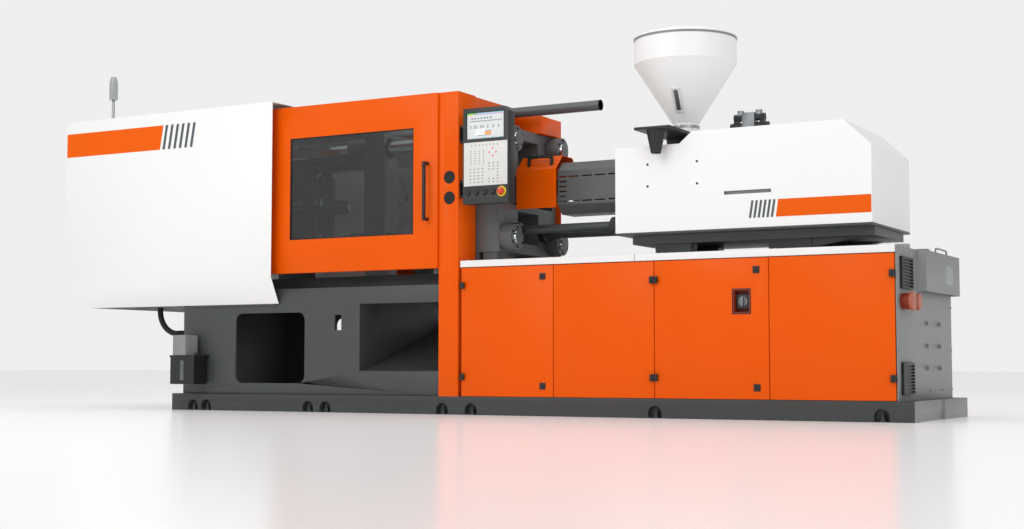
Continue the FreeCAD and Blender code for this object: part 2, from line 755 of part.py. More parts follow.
def make_tie_bars():
    """Four chromed tie bars with their front nuts and the geared rear nuts."""
    bars = [rod("x", "tie_radius", ("end_back - nut_length - 60", "fixed_back + nut_length"), (y, up(z)))
            for y, z in CORNERS]
    nuts = [ring("x", "nut_radius", "tie_radius + fit_gap",
                 ("fixed_back + fit_gap", "fixed_back + nut_length - 12"),
                 (y, up(z))) for y, z in CORNERS]
    piece("tie_bars", group(bars + nuts))


def height_nuts():
    """Toothed rear nuts that set the mould height, one on each tie bar."""
    nuts = []
    for y, z in CORNERS:
        hub = rod("x", "nut_radius", ("end_back - nut_length", "end_back"), (y, up(z)))
        wheel = rod("x", "nut_radius + 26", ("end_back - nut_length", "end_back - nut_length + 24"),
                    (y, up(z)))
        tools = [rod("x", "tie_radius + run_gap", ("end_back - nut_length - 1", "end_back + 1"), (y, up(z)))]
        for step in range(NUT_TEETH):
            angle = f"{step} * 360 / {NUT_TEETH}"
            tools.append(rod("x", "6", ("end_back - nut_length - 1", "end_back - nut_length + 25"),
                             (f"{y} + (nut_radius + 28) * cos({angle})",
                              up(f"{z} + (nut_radius + 28) * sin({angle})"))))
        nuts.append(cut(fuse([hub, wheel]), tools))
    return nuts


NUT_TEETH = 18


def ejector_cylinder():
    """Ejector cylinder behind the moving platen."""
    tube = ring("x", "46", "ejector_radius + 12", ("moving_back - 150", "moving_back"), ("0", "axis_height"))
    cap = rod("x", "52", ("moving_back - 168", "moving_back - 149"), ("0", "axis_height"))
    flange = ring("x", "70", "45", ("moving_back - 20", "moving_back"), ("0", "axis_height"))
    return fuse([tube, cap, flange])


def make_ejector():
    """Ejector rod with its piston."""
    shaft = rod("x", "ejector_radius", ("moving_back - 140", "moving_face - 6"), ("0", "axis_height"))
    piston = rod("x", "ejector_radius + 11.9", ("moving_back - 145", "moving_back - 125"),
                 ("0", "axis_height"))
    piece("ejector_rod", fuse([shaft, piston]))


DERIVED.update({
    "ear_reach": "link_length * 0.65",
    "ear_drop": "link_length * 0.2",
    "crosshead_lead": "97",
    "crosshead_rise": "150",
    "crosshead_rod_radius": "30",
    "ejector_radius": "20",
    "ejector_pitch": "100",
})


def make_clamp_cover():
    """White sheet cover over the toggle, open at the gates and underneath."""
    outer = cover_outline("0")
    inner = cover_outline("sheet_wall")
    x = ("cover_left", "cover_edge")
    end_slope = [("cover_left - 1", "cover_knee"), ("cover_left + cover_end_tuck", "cover_foot"),
                 ("cover_left + cover_end_tuck", "cover_foot - 1"), ("cover_left - 1", "cover_foot - 1")]
    shell_tool = prism("y", [(f"{left} + sheet_wall", high) for left, high in end_slope[:2]]
                       + [("cover_left + cover_end_tuck + sheet_wall", "cover_foot - 2"),
                          ("cover_edge + 2", "cover_foot - 2"), ("cover_edge + 2", "cover_top + 2"),
                          ("cover_left + sheet_wall", "cover_top + 2"),
                          ("cover_left + sheet_wall", "cover_knee")],
                       ("-cover_half - 1", "cover_half + 1"))
    hollow = common(prism("x", inner, ("cover_left - 5", "cover_edge + 1")), shell_tool)
    trimmed = cut(prism("x", outer, x), [prism("y", end_slope, ("-cover_half - 1", "cover_half + 1"))])
    piece("clamp_cover", cut(trimmed, [hollow]))


def cover_outline(wall):
    """Cross-section of the clamp cover, set in by a wall."""
    side = f"cover_half - {wall}"
    foot = f"cover_half - cover_tuck - {wall}"
    low = "cover_foot" if wall == "0" else "cover_foot - 1"
    return [(f"-({foot})", low), (f"{foot}", low), (f"{side}", "cover_knee"),
            (f"{side}", f"cover_top - {wall}"),
            (f"-({side})", f"cover_top - {wall}"), (f"-({side})", "cover_knee")]


def make_gate(side, name):
    """Sliding safety gate with a window and a bow handle; side is -1 for the operator's."""
    front, back = "gate_front", "gate_front + gate_thickness"
    y = (front, back)
    z = ("cabinet_height", "guard_top")
    frame = block(("gate_left", "gate_right"), y, z)
    view_x = ("view_start", "view_start + view_length")
    opening = block(view_x, (f"{front} - 1", f"{back} + 1"), ("view_low", "view_high"))
    lip = "12"
    rebate = block((f"{view_x[0]} - {lip}", f"{view_x[1]} + {lip}"), (f"{front} + 6", f"{back} + 1"),
                   (f"view_low - {lip}", f"view_high + {lip}"))
    gate = cut(frame, [opening, rebate])
    pane = block((f"{view_x[0]} - {lip} + fit_gap", f"{view_x[1]} + {lip} - fit_gap"),
                 (f"{front} + 6", f"{front} + 6 + pane_thickness"),
                 (f"view_low - {lip} + fit_gap", f"view_high + {lip} - fit_gap"))
    handle_x = "gate_right - 62"
    low, high = "axis_height - handle_height / 2 - 26", "axis_height + handle_height / 2 - 26"
    size = "handle_section"
    reach = f"{front} - handle_reach"
    grip = block((f"{handle_x} - {size} / 2", f"{handle_x} + {size} / 2"), (reach, f"{reach} + {size}"),
                 (low, high))
    feet = [block((f"{handle_x} - {size} / 2", f"{handle_x} + {size} / 2"), (reach, front),
                  (edge, f"{edge} + {size}")) for edge in (low, f"{high} - {size}")]
    handle = fuse([grip] + feet)
    if side > 0:
        gate, pane, handle = (mirrored(item, "y") for item in (gate, pane, handle))
    piece(f"{name}_gate", group([gate, handle]))
    piece(f"{name}_gate_window", pane)


def gate_rails():
    """Top hanging rails and bottom guide rails for both gates."""
    rails = []
    for side in (-1, 1):
        inner = "gate_front + gate_thickness + fit_gap"
        y = (inner, f"{inner} + 26") if side < 0 else (f"-({inner}) - 26", f"-({inner})")
        left = "gate_left - gate_travel"
        rails.append(block((left, "column_left"), y, ("guard_top - 44", "guard_top - 8")))
        rails.append(block((left, "column_left"), y, ("cabinet_height + 8", "cabinet_height + 36")))
    return rails


def make_fixed_guard():
    """Orange posts beside the fixed platen, on both sides, with a bridge over the top."""
    wall = "sheet_wall"
    x = ("column_left", "column_right")
    solids = []
    for side in (-1, 1):
        near, far = (("column_front", "column_front + guard_depth"),
                     ("-column_front - guard_depth", "-column_front"))
        deep = near if side < 0 else far
        post = block(x, deep, ("skirt_height", "guard_top"))
        inner_y = (f"{deep[0]} + {wall}", f"{deep[1]} - {wall}")
        hollow = block((f"{x[0]} + {wall}", f"{x[1]} - {wall}"), inner_y,
                       (f"skirt_height + {wall}", f"guard_top - {wall}"))
        holes = [hollow]
        if side < 0:
            for z in ("axis_height + 46", "axis_height - 66"):
                holes.append(rod("y", "guard_hole_radius", (f"{deep[0]} - 1", f"{deep[0]} + 20"),
                                 ("column_left + 66", z)))
        solids.append(cut(post, holes))
    bridge = block(x, ("column_front + guard_depth", "-column_front - guard_depth"),
                   ("guard_top - 152", "guard_top - 6"))
    bridge_hollow = block((f"{x[0]} + {wall}", f"{x[1]} - {wall}"),
                          ("column_front + guard_depth + 3", "-column_front - guard_depth - 3"),
                          (f"guard_top - 153", f"guard_top - 6 - {wall}"))
    solids.append(cut(bridge, [bridge_hollow]))
    piece("fixed_guard", group([fuse(solids)] + gate_rails() + panel_brackets()))


def make_platen_guard():
    """Orange box guard on top of the fixed platen and the sheet down its far side."""
    x = ("column_right + fit_gap", "fixed_back + 30")
    side = "tie_half + nut_radius + 2"
    top = "axis_height + platen_half + 100"
    box = block(x, ("97", f"{side} + 4"), ("axis_height + platen_half + fit_gap", top))
    sheet = block(x, (side, f"{side} + 4"), ("table_top + fit_gap", top))
    piece("platen_guard", fuse([box, sheet]))


def make_overhead_tube():
    """Plain tube that carries lines from the guard's bridge towards the injection unit."""
    x = ("column_right", "column_right + 602")
    tube = ring("x", "29", "25", x, ("0", "guard_top - 50"))
    flange = ring("x", "44", "25", (x[0], f"{x[0]} + 8"), ("0", "guard_top - 50"))
    piece("overhead_tube", fuse([tube, flange]))


def make_beacon():
    """Warning beacon: base, pole and lamp on the clamp cover."""
    across = ("cover_left + 220", "-cover_half + 170")
    base = rod("z", "22", ("cover_top", "cover_top + 12"), across)
    pole = rod("z", "9", ("cover_top + 11", "cover_top + 152"), across)
    body = rod("z", "26", ("cover_top + 152 + fit_gap", "cover_top + 262"), across)
    dome = taper("z", "26", "17", ("cover_top + 262", "cover_top + 296"), across)
    piece("beacon", group([fuse([base, pole]), fuse([body, dome])]))


def make_panel():
    """Swivelling control panel: housing with a screen recess, push buttons and stop button."""
    front = "-panel_front"
    y = (front, f"{front} + panel_depth")
    corner = "26"
    outline = [("panel_left", "panel_low"), ("panel_right", "panel_low"),
               ("panel_right", f"panel_top - {corner}"),
               (f"panel_right - {corner}", "panel_top"), ("panel_left", "panel_top")]
    shell = prism("y", outline, y)
    screen_box = (("panel_left + 20", "panel_left + 249"), (front, f"{front} + 8"),
                  ("panel_top - 166", "panel_top - 24"))
    cuts = [block(screen_box[0], (f"{front} - 1", screen_box[1][1]), screen_box[2])]
    for x in BUTTON_PLACES:
        cuts.append(rod("y", "button_radius + 0.4", (f"{front} - 1", f"{front} + 16"), (x, "panel_low + 59")))
    cuts.append(rod("y", "11", (f"{front} - 1", f"{front} + 30"), (STOP_PLACE, "panel_low + 59")))
    housing = cut(shell, cuts)
    hinge_x = "panel_hinge_x"
    for z in PANEL_HINGES:
        barrel = ring("z", "11", "5 + run_gap", (f"{z} - 34", f"{z} + 34"), (hinge_x, "panel_hinge_y"))
        arm = block((f"{hinge_x} + 8", "panel_left + 1"), ("panel_hinge_y - 6", "panel_hinge_y + 6"),
                    (f"{z} - 34", f"{z} + 34"))
        housing = fuse([housing, barrel, arm])
    piece("panel_housing", housing)
    for number, x in enumerate(BUTTON_PLACES, start=1):
        cap = rod("y", "button_radius", (f"{front} - 6", f"{front} + 8"), (x, "panel_low + 59"))
        piece(f"push_button_{number}", cap)
    stem = rod("y", "10.9", (f"{front} - 12", f"{front} + 20"), (STOP_PLACE, "panel_low + 59"))
    head = taper("y", "14", "stop_radius", (f"{front} - 26", f"{front} - 11"), (STOP_PLACE, "panel_low + 59"))
    piece("stop_button", fuse([stem, head]))


def panel_brackets():
    """Two hinge brackets with their pins, bolted to the fixed guard, that carry the panel."""
    hinge_x = "panel_hinge_x"
    solids = []
    for z in PANEL_HINGES:
        brackets = []
        pin = rod("z", "5", (f"{z} - 46", f"{z} + 46"), (hinge_x, "panel_hinge_y"))
        for edge in (f"{z} - 46", f"{z} + 35"):
            leaf = block(("column_right", f"{hinge_x} + 5"), ("panel_hinge_y - 11", "panel_hinge_y + 11"),
                         (edge, f"{edge} + 11"))
            brackets.append(leaf)
        brackets.append(pin)
        brackets.append(block(("column_right", "column_right + 6"),
                              ("panel_hinge_y - 11", "panel_hinge_y + 30"), (f"{z} - 46", f"{z} + 46")))
        solids.append(fuse(brackets))
    return solids


BUTTON_PLACES = ("panel_left + 30", "panel_left + 82", "panel_left + 133", "panel_left + 183")
STOP_PLACE = "panel_left + 237"
PANEL_HINGES = ("panel_low + 90", "panel_low + 388")
DERIVED.update({
    "panel_hinge_x": "column_right + 26",
    "panel_hinge_y": "column_front + 26",
})


def turned(along, corners, x, y, z):
    """Revolved outline: pairs of (along X, radius), or of (radius, height) when along is z."""
    body = doc.addObject("PartDesign::Body", "turned")
    sketch = body.newObject("Sketcher::SketchObject", "half_outline")
    plane = [item for item in body.Origin.OriginFeatures if item.Role == "XZ_Plane"][0]
    sketch.AttachmentSupport = [(plane, "")]
    sketch.MapMode = "FlatFace"
    draw_outline(sketch, corners)
    spin = body.newObject("PartDesign::Revolution", "revolution")
    spin.Profile = sketch
    spin.ReferenceAxis = (sketch, ["V_Axis" if along == "z" else "H_Axis"])
    spin.Angle = 360
    return place(body, x, y, z)


def make_carriage():
    """Dark welded carriage that slides on the two rails of the table."""
    left, right = "injection_left + 60", "injection_right - 12"
    deck = block((left, right), ("-260", "260"), ("injection_low - 56", "injection_low - fit_gap"))
    ledge = block(("injection_left + 6", "injection_right"), ("-injection_half", "injection_half"),
                  ("injection_low - 12", "injection_low - fit_gap"))
    parts = [deck, ledge]
    for side in (-1, 1):
        y = ("-rail_half_gauge - 42", "-rail_half_gauge + 42") if side < 0 else (
            "rail_half_gauge - 42", "rail_half_gauge + 42")
        for start, finish in (("injection_left + 176", "injection_left + 376"),
                              ("injection_right - 560", "injection_right - 340")):
            parts.append(block((start, finish), y, ("carriage_low + fit_gap", "injection_low - 40")))
        gusset = [("injection_right - 340", "carriage_low + 4"),
                  ("injection_right - 300", "carriage_low + 4"),
                  ("injection_right - 60", "injection_low - 50"),
                  ("injection_right - 340", "injection_low - 50")]
        parts.append(prism("y", gusset, (f"{y[0]} + 12", f"{y[1]} - 12")))
    piece("carriage", fuse(parts))


def make_feed_block():
    """Feed block with its yoke and the two injection cylinders."""
    core = block(("feed_left", "feed_right"), ("-feed_half", "feed_half"),
                 ("injection_low", "injection_step - sheet_wall - fit_gap"))
    tower = block(("hopper_x - 78", "hopper_x + 78"), ("-78", "78"), ("injection_step - 9", "slide_low"))
    yoke = block(("feed_right - 60", "feed_right"), ("-290", "290"), (up("-88"), up("88")))
    cylinders = []
    bores = [rod("x", "barrel_radius + fit_gap", ("feed_left - 1", "barrel_end + fit_gap"),
                 ("0", "axis_height")),
             rod("x", "screw_radius + 2", ("barrel_end", "feed_right + 1"), ("0", "axis_height")),
             rod("z", "throat_radius - 22", ("axis_height", "slide_low + 1"), ("hopper_x", "0"))]
    for y in ("-injection_gauge", "injection_gauge"):
        span = ("feed_right - 1", "feed_right + cylinder_reach")
        cylinders.append(rod("x", "injection_cylinder_radius", span, (y, "axis_height")))
        bores.append(rod("x", "injection_cylinder_radius - 14",
                         ("feed_right + 10", "feed_right + cylinder_reach - 20"),
                         (y, "axis_height")))
        bores.append(rod("x", "injection_rod_radius + run_gap", ("feed_right + cylinder_reach - 21",
                         "feed_right + cylinder_reach + 1"), (y, "axis_height")))
    piece("feed_block", cut(fuse([core, tower, yoke] + cylinders), bores))


def make_barrel():
    """Barrel with its nozzle and heater bands."""
    start, finish = "barrel_start", "barrel_end"
    bore = "screw_radius + run_gap"
    tube = turned("x", [(start, bore), (finish, bore), (finish, "barrel_radius"), (start, "barrel_radius")],
                  "0", "0", "axis_height")
    port = rod("z", "20", ("axis_height + 5", "axis_height + 90"), ("hopper_x", "0"))
    nozzle = turned("x", [("nozzle_tip", "2"), (f"{start} - fit_gap", "6"), (f"{start} - fit_gap", "44"),
                          (f"{start} - 22", "44"), (f"{start} - 30", "24"), ("nozzle_tip + 14", "18"),
                          ("nozzle_tip", "8")], "0", "0", "axis_height")
    bands = []
    for step in range(5):
        left = f"{start} + 66 + {step} * 165"
        bands.append(ring("x", "barrel_radius + 10", "barrel_radius + fit_gap", (left, f"{left} + 110"),
                          ("0", "axis_height")))
    piece("barrel", group([cut(tube, [port]), nozzle] + bands))


def make_screw():
    """Plasticising screw: pointed tip, flighted length and plain shank."""
    tip, end = "barrel_start + 6", "thrust_left + 70"
    outline = [(tip, "0"), (end, "0"), (end, "screw_radius"), (f"{tip} + 60", "screw_radius"),
               (f"{tip} + 60", "screw_radius - 8"), (f"{tip} + 40", "screw_radius - 8"),
               (f"{tip} + 36", "14")]
    piece("screw", turned("x", outline, "0", "0", "axis_height"))


def make_thrust_block():
    """Thrust block with the two piston rods and the hydraulic motor that turns the screw."""
    x = ("thrust_left", "thrust_left + 140")
    body = [block(x, ("-290", "290"), (up("-88"), up("88")))]
    for y in (("-250", "-150"), ("150", "250")):
        body.append(block(x, y, ("injection_low + fit_gap", up("-87"))))
    body.append(rod("x", "98", (f"{x[1]} - 1", f"{x[1]} + 30"), ("0", "axis_height")))
    body.append(rod("x", "84", (f"{x[1]} + 29", f"{x[1]} + 170"), ("0", "axis_height")))
    body.append(block((f"{x[1]} + 60", f"{x[1]} + 140"), ("-45", "45"), (up("60"), up("124"))))
    for y in ("-injection_gauge", "injection_gauge"):
        body.append(rod("x", "injection_rod_radius", ("feed_right + 60", "thrust_left + 1"),
                        (y, "axis_height")))
        body.append(rod("x", "injection_cylinder_radius - 14.5", ("feed_right + 40", "feed_right + 61"),
                        (y, "axis_height")))
    hole = rod("x", "screw_radius + run_gap", ("thrust_left - 1", "thrust_left + 72"), ("0", "axis_height"))
    piece("thrust_block", cut(fuse(body), [hole]))


def make_barrel_cover():
    """Octagonal sheet cover round the heated barrel, with rows of vent slots."""
    outer = octagon("barrel_cover_half", "0")
    inner = octagon("barrel_cover_half - sheet_wall", "sheet_wall")
    x = ("barrel_cover_start", "injection_left - fit_gap")
    shell = cut(prism("x", outer, x), [prism("x", inner, (f"{x[0]} - 1", f"{x[1]} + 1"))])
    slots = []
    across = ("-barrel_cover_half - 1", "barrel_cover_half + 1")
    for step in range(6):
        z = f"barrel_cover_low + 64 + {step} * 27"
        for left in (f"{x[0]} + 8", f"{x[1]} - 66"):
            slots.append(block((left, f"{left} + 44"), across, (z, f"{z} + 8")))
    for step in range(4):
        left = f"{x[0]} + 66 + {step} * 80"
        for z in ("barrel_cover_low + 64", "barrel_cover_low + 64 + 135"):
            slots.append(block((left, f"{left} + 62"), across, (z, f"{z} + 7")))
    piece("barrel_cover", cut(shell, slots))


def octagon(half, wall):
    """Cross-section of the barrel cover, set in by a wall."""
    low, high = f"barrel_cover_low + {wall}", f"barrel_cover_top - {wall}"
    bevel = "49"
    return [(f"-({half}) + {bevel}", low), (f"({half}) - {bevel}", low), (half, f"{low} + {bevel}"),
            (half, f"{high} - {bevel}"), (f"({half}) - {bevel}", high), (f"-({half}) + {bevel}", high),
            (f"-({half})", f"{high} - {bevel}"), (f"-({half})", f"{low} + {bevel}")]


def make_injection_cover():
    """White cover of the injection unit, open underneath, stepped down under the hopper."""
    outer = prism("y", injection_outline("0"), ("-injection_half", "injection_half"))
    inner = prism("y", injection_outline("sheet_wall"), ("-injection_half + sheet_wall",
                                                         "injection_half - sheet_wall"))
    front = ("injection_left - 1", "injection_left + sheet_wall + 1")
    cuts = [inner]
    cuts.append(prism("x", octagon("barrel_cover_half - 12", "12"), front))
    cuts.append(block(front, ("-230", "230"), ("injection_low - 1", "traverse_height + 66")))
    cuts.append(block(("hopper_x - 84", "hopper_x + 84"), ("-84", "84"),
                      ("injection_step - 10", "injection_top + 1")))
    side = ("-injection_half - 1", "injection_half + 1")
    for x in ("injection_left + 184", "injection_left + 457"):
        for z in ("injection_low + 236", "injection_low + 349"):
            cuts.append(rod("y", "6", side, (x, z)))
    slot = ("injection_left + 602", "injection_left + 849")
    cuts.append(block(slot, side, ("injection_low + 170", "injection_low + 188")))
    piece("injection_cover", cut(outer, cuts))


def injection_outline(wall):
    """Side outline of the injection cover, set in by a wall and left open below."""
    low = "injection_low" if wall == "0" else "injection_low - 1"
    left, right = f"injection_left + {wall}", f"injection_right - {wall}"
    return [(left, low), (right, low), (right, "injection_shoulder"),
            ("injection_right - 136", f"injection_top - {wall}"),
            ("injection_left + 431", f"injection_top - {wall}"),
            ("injection_left + 361", f"injection_step - {wall}"),
            (left, f"injection_step - {wall}")]


def make_traverse():
    """Two cylinders that draw the whole injection unit along its rails."""
    rods = []
    tubes = []
    for y in ("-traverse_offset", "traverse_offset"):
        centre = (y, "traverse_height")
        shaft = rod("x", "traverse_rod_radius", ("fixed_back + fit_gap", "injection_left + 330"), centre)
        piston = rod("x", "traverse_cylinder_radius - 10.1",
                     ("injection_left + 300", "injection_left + 331"), centre)
        boss = rod("x", "44", ("fixed_back + fit_gap", "fixed_back + 40"), centre)
        rods.append(fuse([shaft, piston, boss]))
        tube = rod("x", "traverse_cylinder_radius", ("injection_left - 99", "injection_left + 360"), centre)
        bore = rod("x", "traverse_cylinder_radius - 10", ("injection_left - 70", "injection_left + 340"),
                   centre)
        gland = rod("x", "traverse_rod_radius + run_gap", ("injection_left - 100", "injection_left - 60"),
                    centre)
        port = rod("z", "9", ("traverse_height + 40", "traverse_height + 78"), ("injection_left - 42", y))
        elbow = block(("injection_left - 52", "injection_left - 14"), (f"{y} - 9", f"{y} + 9"),
                      ("traverse_height + 66", "traverse_height + 82"))
        tubes.append(cut(fuse([tube, port, elbow]), [bore, gland]))
    saddle = block(("injection_left + 240", "injection_left + 320"),
                   ("-traverse_offset - 60", "-feed_half - fit_gap"),
                   ("injection_low - fit_gap", "traverse_height - 40"))
    twin = block(("injection_left + 240", "injection_left + 320"),
                 ("feed_half + fit_gap", "traverse_offset + 60"),
                 ("injection_low - fit_gap", "traverse_height - 40"))
    hollow = [rod("x", "traverse_cylinder_radius - 1", ("injection_left + 200", "injection_left + 340"),
                  (y, "traverse_height")) for y in ("-traverse_offset", "traverse_offset")]
    tubes = [fuse([tubes[0], cut(saddle, [hollow[0]])]), fuse([tubes[1], cut(twin, [hollow[1]])])]
    piece("traverse_rods", group(rods))
    piece("traverse_cylinders", group(tubes))


def make_hopper():
    """Hopper on its sliding foot, with the slide base, the drain chute and a loose lid."""
    low, top = "slide_low", "slide_top"
    base = block(("hopper_x - 97", "hopper_x + 97"), ("-hopper_slide - 55", "120"), (low, top))
    chute = taper("z", "26", "49", (f"{low} - 118", f"{low} + 1"), ("hopper_x", "-hopper_slide"))
    inside = taper("z", "23", "46", (f"{low} - 119", f"{low} + 2"), ("hopper_x", "-hopper_slide"))
    holes = [rod("z", "46", (f"{low} - 1", f"{top} + 1"), ("hopper_x", y)) for y in ("0", "-hopper_slide")]
    piece("slide_base", fuse([cut(base, holes), cut(chute, [inside])]))
    wall = "sheet_wall"
    foot = "slide_top + fit_gap"
    outline = [("throat_radius - 22", foot), ("95", foot), ("95", "hopper_base"),
               ("throat_radius + 8", "hopper_base"),
               ("throat_radius + 8", "hopper_neck"), ("hopper_radius", "hopper_shoulder"),
               ("hopper_radius", "hopper_rim"),
               (f"hopper_radius - {wall}", "hopper_rim"), (f"hopper_radius - {wall}", "hopper_shoulder + 1"),
               ("throat_radius - 22", "hopper_neck")]
    piece("hopper", turned("z", outline, "hopper_x", "0", "0"))
    lid_low = "hopper_rim + fit_gap"
    lid = [("0", f"{lid_low} + 36"), ("0", f"{lid_low} + 33"), ("hopper_radius - 30", f"{lid_low} + 18"),
           ("hopper_radius - 4", lid_low), ("hopper_radius + 5", lid_low),
           ("hopper_radius + 5", f"{lid_low} + 5"),
           ("hopper_radius - 28", f"{lid_low} + 22")]
    piece("hopper_lid", turned("z", lid, "hopper_x", "0", "0"))


def make_valves():
    """Stack of solenoid valves on top of the injection cover."""
    x, top = "injection_left + 616", "injection_top + fit_gap"
    parts = [block((f"{x} - 40", f"{x} + 40"), ("-40", "40"), (top, f"{top} + 34"))]
    for level, reach in (("34", "104"), ("80", "84")):
        z = f"{top} + {level}"
        parts.append(block((f"{x} - 34", f"{x} + 34"), ("-30", "30"), (f"{z} - 1", f"{z} + 46")))
        parts.append(rod("x", "19", (f"{x} - {reach}", f"{x} + {reach}"), ("0", f"{z} + 23")))
        for middle in (f"{x} - {reach} + 34", f"{x} + {reach} - 34"):
            parts.append(block((f"{middle} - 14", f"{middle} + 14"), ("-14", "14"),
                               (f"{z} + 30", f"{z} + 60")))
    piece("valve_stack", fuse(parts))


def make_purge_guard():
    """Orange purge guard, hinged along its far edge, with a black arch handle."""
    x = ("fixed_back + fit_gap", "barrel_cover_start - 4")
    outer = purge_outline("0")
    inner = purge_outline("sheet_wall")
    shell = cut(prism("x", outer, x), [prism("x", inner, (f"{x[0]} - 1", f"{x[1]} + 1"))])
    start = "purge_handle_x"
    parts = [block((start, f"{start} + 156"), ("-118", "-104"),
                   ("purge_shoulder + 66", "purge_shoulder + 80"))]
    for left in (start, f"{start} + 142"):
        parts.append(block((left, f"{left} + 14"), ("-118", "-104"),
                           ("purge_shoulder + 10", "purge_shoulder + 80")))
    barrel = ring("x", "10", "5 + run_gap", (f"{x[0]} + 30", f"{x[1]} - 30"),
                  ("purge_hinge_y", "purge_shoulder"))
    handle = cut(fuse(parts), [prism("x", outer, (f"{start} - 1", f"{start} + 157"))])
    piece("purge_guard", group([fuse([shell, barrel]), handle]))


def purge_outline(wall):
    """Cross-section of the purge guard: open below, with a short lip on its hinged far side."""
    low, lip = ("purge_low", "purge_shoulder - 30") if wall == "0" else ("purge_low - 6",
                                                                         "purge_shoulder - 36")
    side, flat = f"136 - {wall}", "60"
    shoulder = f"purge_shoulder - {wall} / 2"
    top = f"purge_shoulder + 79 - {wall}"
    return [(f"-({side})", low), (side, lip), (side, shoulder), (flat, top), (f"-{flat}", top),
            (f"-({side})", shoulder)]


def make_end():
    """Grey end panel with its hood and louvres, and the two capped power sockets."""
    x = ("cabinet_right + 2", "cabinet_right + 8")
    panel = block(x, ("-bed_half + 4", "bed_half - 4"), ("skirt_height", "table_top - 2"))
    hood_x = (f"{x[1]} - 1", f"{x[1]} + 46")
    hood = cut(block(hood_x, ("-156", "bed_half"), ("cabinet_height - 168", "table_top - 4")),
               [block((x[1], f"{hood_x[1]} - 3"), ("-153", "bed_half - 3"),
                      ("cabinet_height - 170", "table_top - 7"))])
    louvres = []
    for z in ("skirt_height + 28", "cabinet_height - 166"):
        frame = block((x[1], f"{x[1]} + 14"), ("-bed_half + 54", "-bed_half + 250"), (z, f"{z} + 150"))
        gaps = [block((f"{x[1]} + 4", f"{x[1]} + 15"), ("-bed_half + 64", "-bed_half + 240"),
                      (f"{z} + 9 + {step} * 15", f"{z} + 18 + {step} * 15")) for step in range(9)]
        louvres.append(cut(frame, gaps))
    piece("end_panel", group([fuse([panel, hood])] + louvres))
    sockets = []
    for y, radius, z in (("-bed_half + 84", "38", "cabinet_height - 226"),
                         ("-bed_half + 190", "33", "cabinet_height - 226")):
        sockets.append(fuse([rod("x", radius, (x[1], f"{x[1]} + 44"), (y, z)),
                             rod("x", f"{radius} + 5", (f"{x[1]} + 43", f"{x[1]} + 58"), (y, z))]))
    piece("power_sockets", group(sockets))


def make_lubrication():
    """Central lubrication unit on the operator's side of the clamp bed."""
    back = "-bed_half + 15 - fit_gap"
    left = "clamp_left + 12"
    tank = block((left, f"{left} + 180"), ("-lube_reach", "-bed_half - 4"), ("153", "311"))
    flange = block((f"{left} - 6", f"{left} + 186"), ("-lube_reach - 2", back), ("311", "322"))
    head = block((f"{left} + 16", f"{left} + 112"), ("-lube_reach + 2", "-bed_half - 4"), ("321", "440"))
    strap = block((f"{left} + 40", f"{left} + 90"), ("-bed_half - 5", back), ("170", "430"))
    piece("lubrication_unit", fuse([tank, flange, head, strap]))


def make_hose():
    """Line bundle in a black hose from the clamp cover's floor into the bed's end."""
    bend, radius = "hose_bend", "hose_radius"
    x, z = "clamp_left - hose_bend - hose_run", "hose_height"
    drop = rod("z", radius, (f"{z} + {bend}", "cover_foot - fit_gap"), (x, "hose_y"))
    run = rod("x", radius, ("clamp_left - hose_run", "clamp_left - fit_gap"), ("hose_y", z))
    elbow = doc.addObject("Part::Torus", "elbow")
    elbow.Placement.Rotation = FreeCAD.Rotation(FreeCAD.Vector(1, 0, 0), 90)
    bind(elbow, Radius1=bend, Radius2=radius, Angle3="90")
    elbow.Placement.Rotation = FreeCAD.Rotation(FreeCAD.Vector(1, 0, 0), 90) * FreeCAD.Rotation(
        FreeCAD.Vector(0, 0, 1), 180)
    place(elbow, "clamp_left - hose_run", "hose_y", f"{z} + {bend}")
    piece("line_hose", fuse([drop, run, elbow]))


def make_power_pack():
    """Oil tank with the pump motor beside it, inside the cabinet."""
    tank = block(("door_three + 60", "cabinet_right - 60"), ("-380", "400"),
                 ("skirt_height + 6", "skirt_height + 430"))
    motor = rod("x", "120", ("door_two + 90", "door_three - 60"), ("60", "skirt_height + 210"))
    feet = block(("door_two + 130", "door_three - 110"), ("-60", "180"),
                 ("skirt_height + 6", "skirt_height + 110"))
    pump = rod("x", "66", ("door_three - 61", "door_three + 61"), ("60", "skirt_height + 210"))
    piece("power_pack", fuse([tank, motor, feet, pump]))


def carriage_rails():
    """Two hardened rails that the injection carriage slides on."""
    return [block(("cabinet_left + 430", "cabinet_right - 20"), y, ("table_top", "carriage_low"))
            for y in (("-rail_half_gauge - 25", "-rail_half_gauge + 25"),
                      ("rail_half_gauge - 25", "rail_half_gauge + 25"))]


DERIVED.update({
    "feed_left": "hopper_x - feed_block_length / 2",
    "feed_right": "hopper_x + feed_block_length / 2",
    "feed_half": "105",
    "barrel_end": "feed_right - 20",
    "slide_low": "hopper_base - 46",
    "slide_top": "slide_low + 14",
    "nozzle_tip": "barrel_start - 68",
    "injection_gauge": "215",
    "injection_cylinder_radius": "62",
    "injection_rod_radius": "28",
    "cylinder_reach": "injection_stroke + 100",
    "thrust_left": "feed_right + cylinder_reach + 20",
    "purge_handle_x": "fixed_back + 60",
    "purge_low": "axis_height - 105",
    "purge_shoulder": "axis_height + 110",
    "purge_hinge_y": "136 + 9",
    "hose_bend": "140",
    "hose_run": "150",
    "hose_radius": "17",
    "hose_height": "455",
    "hose_y": "-390",
})


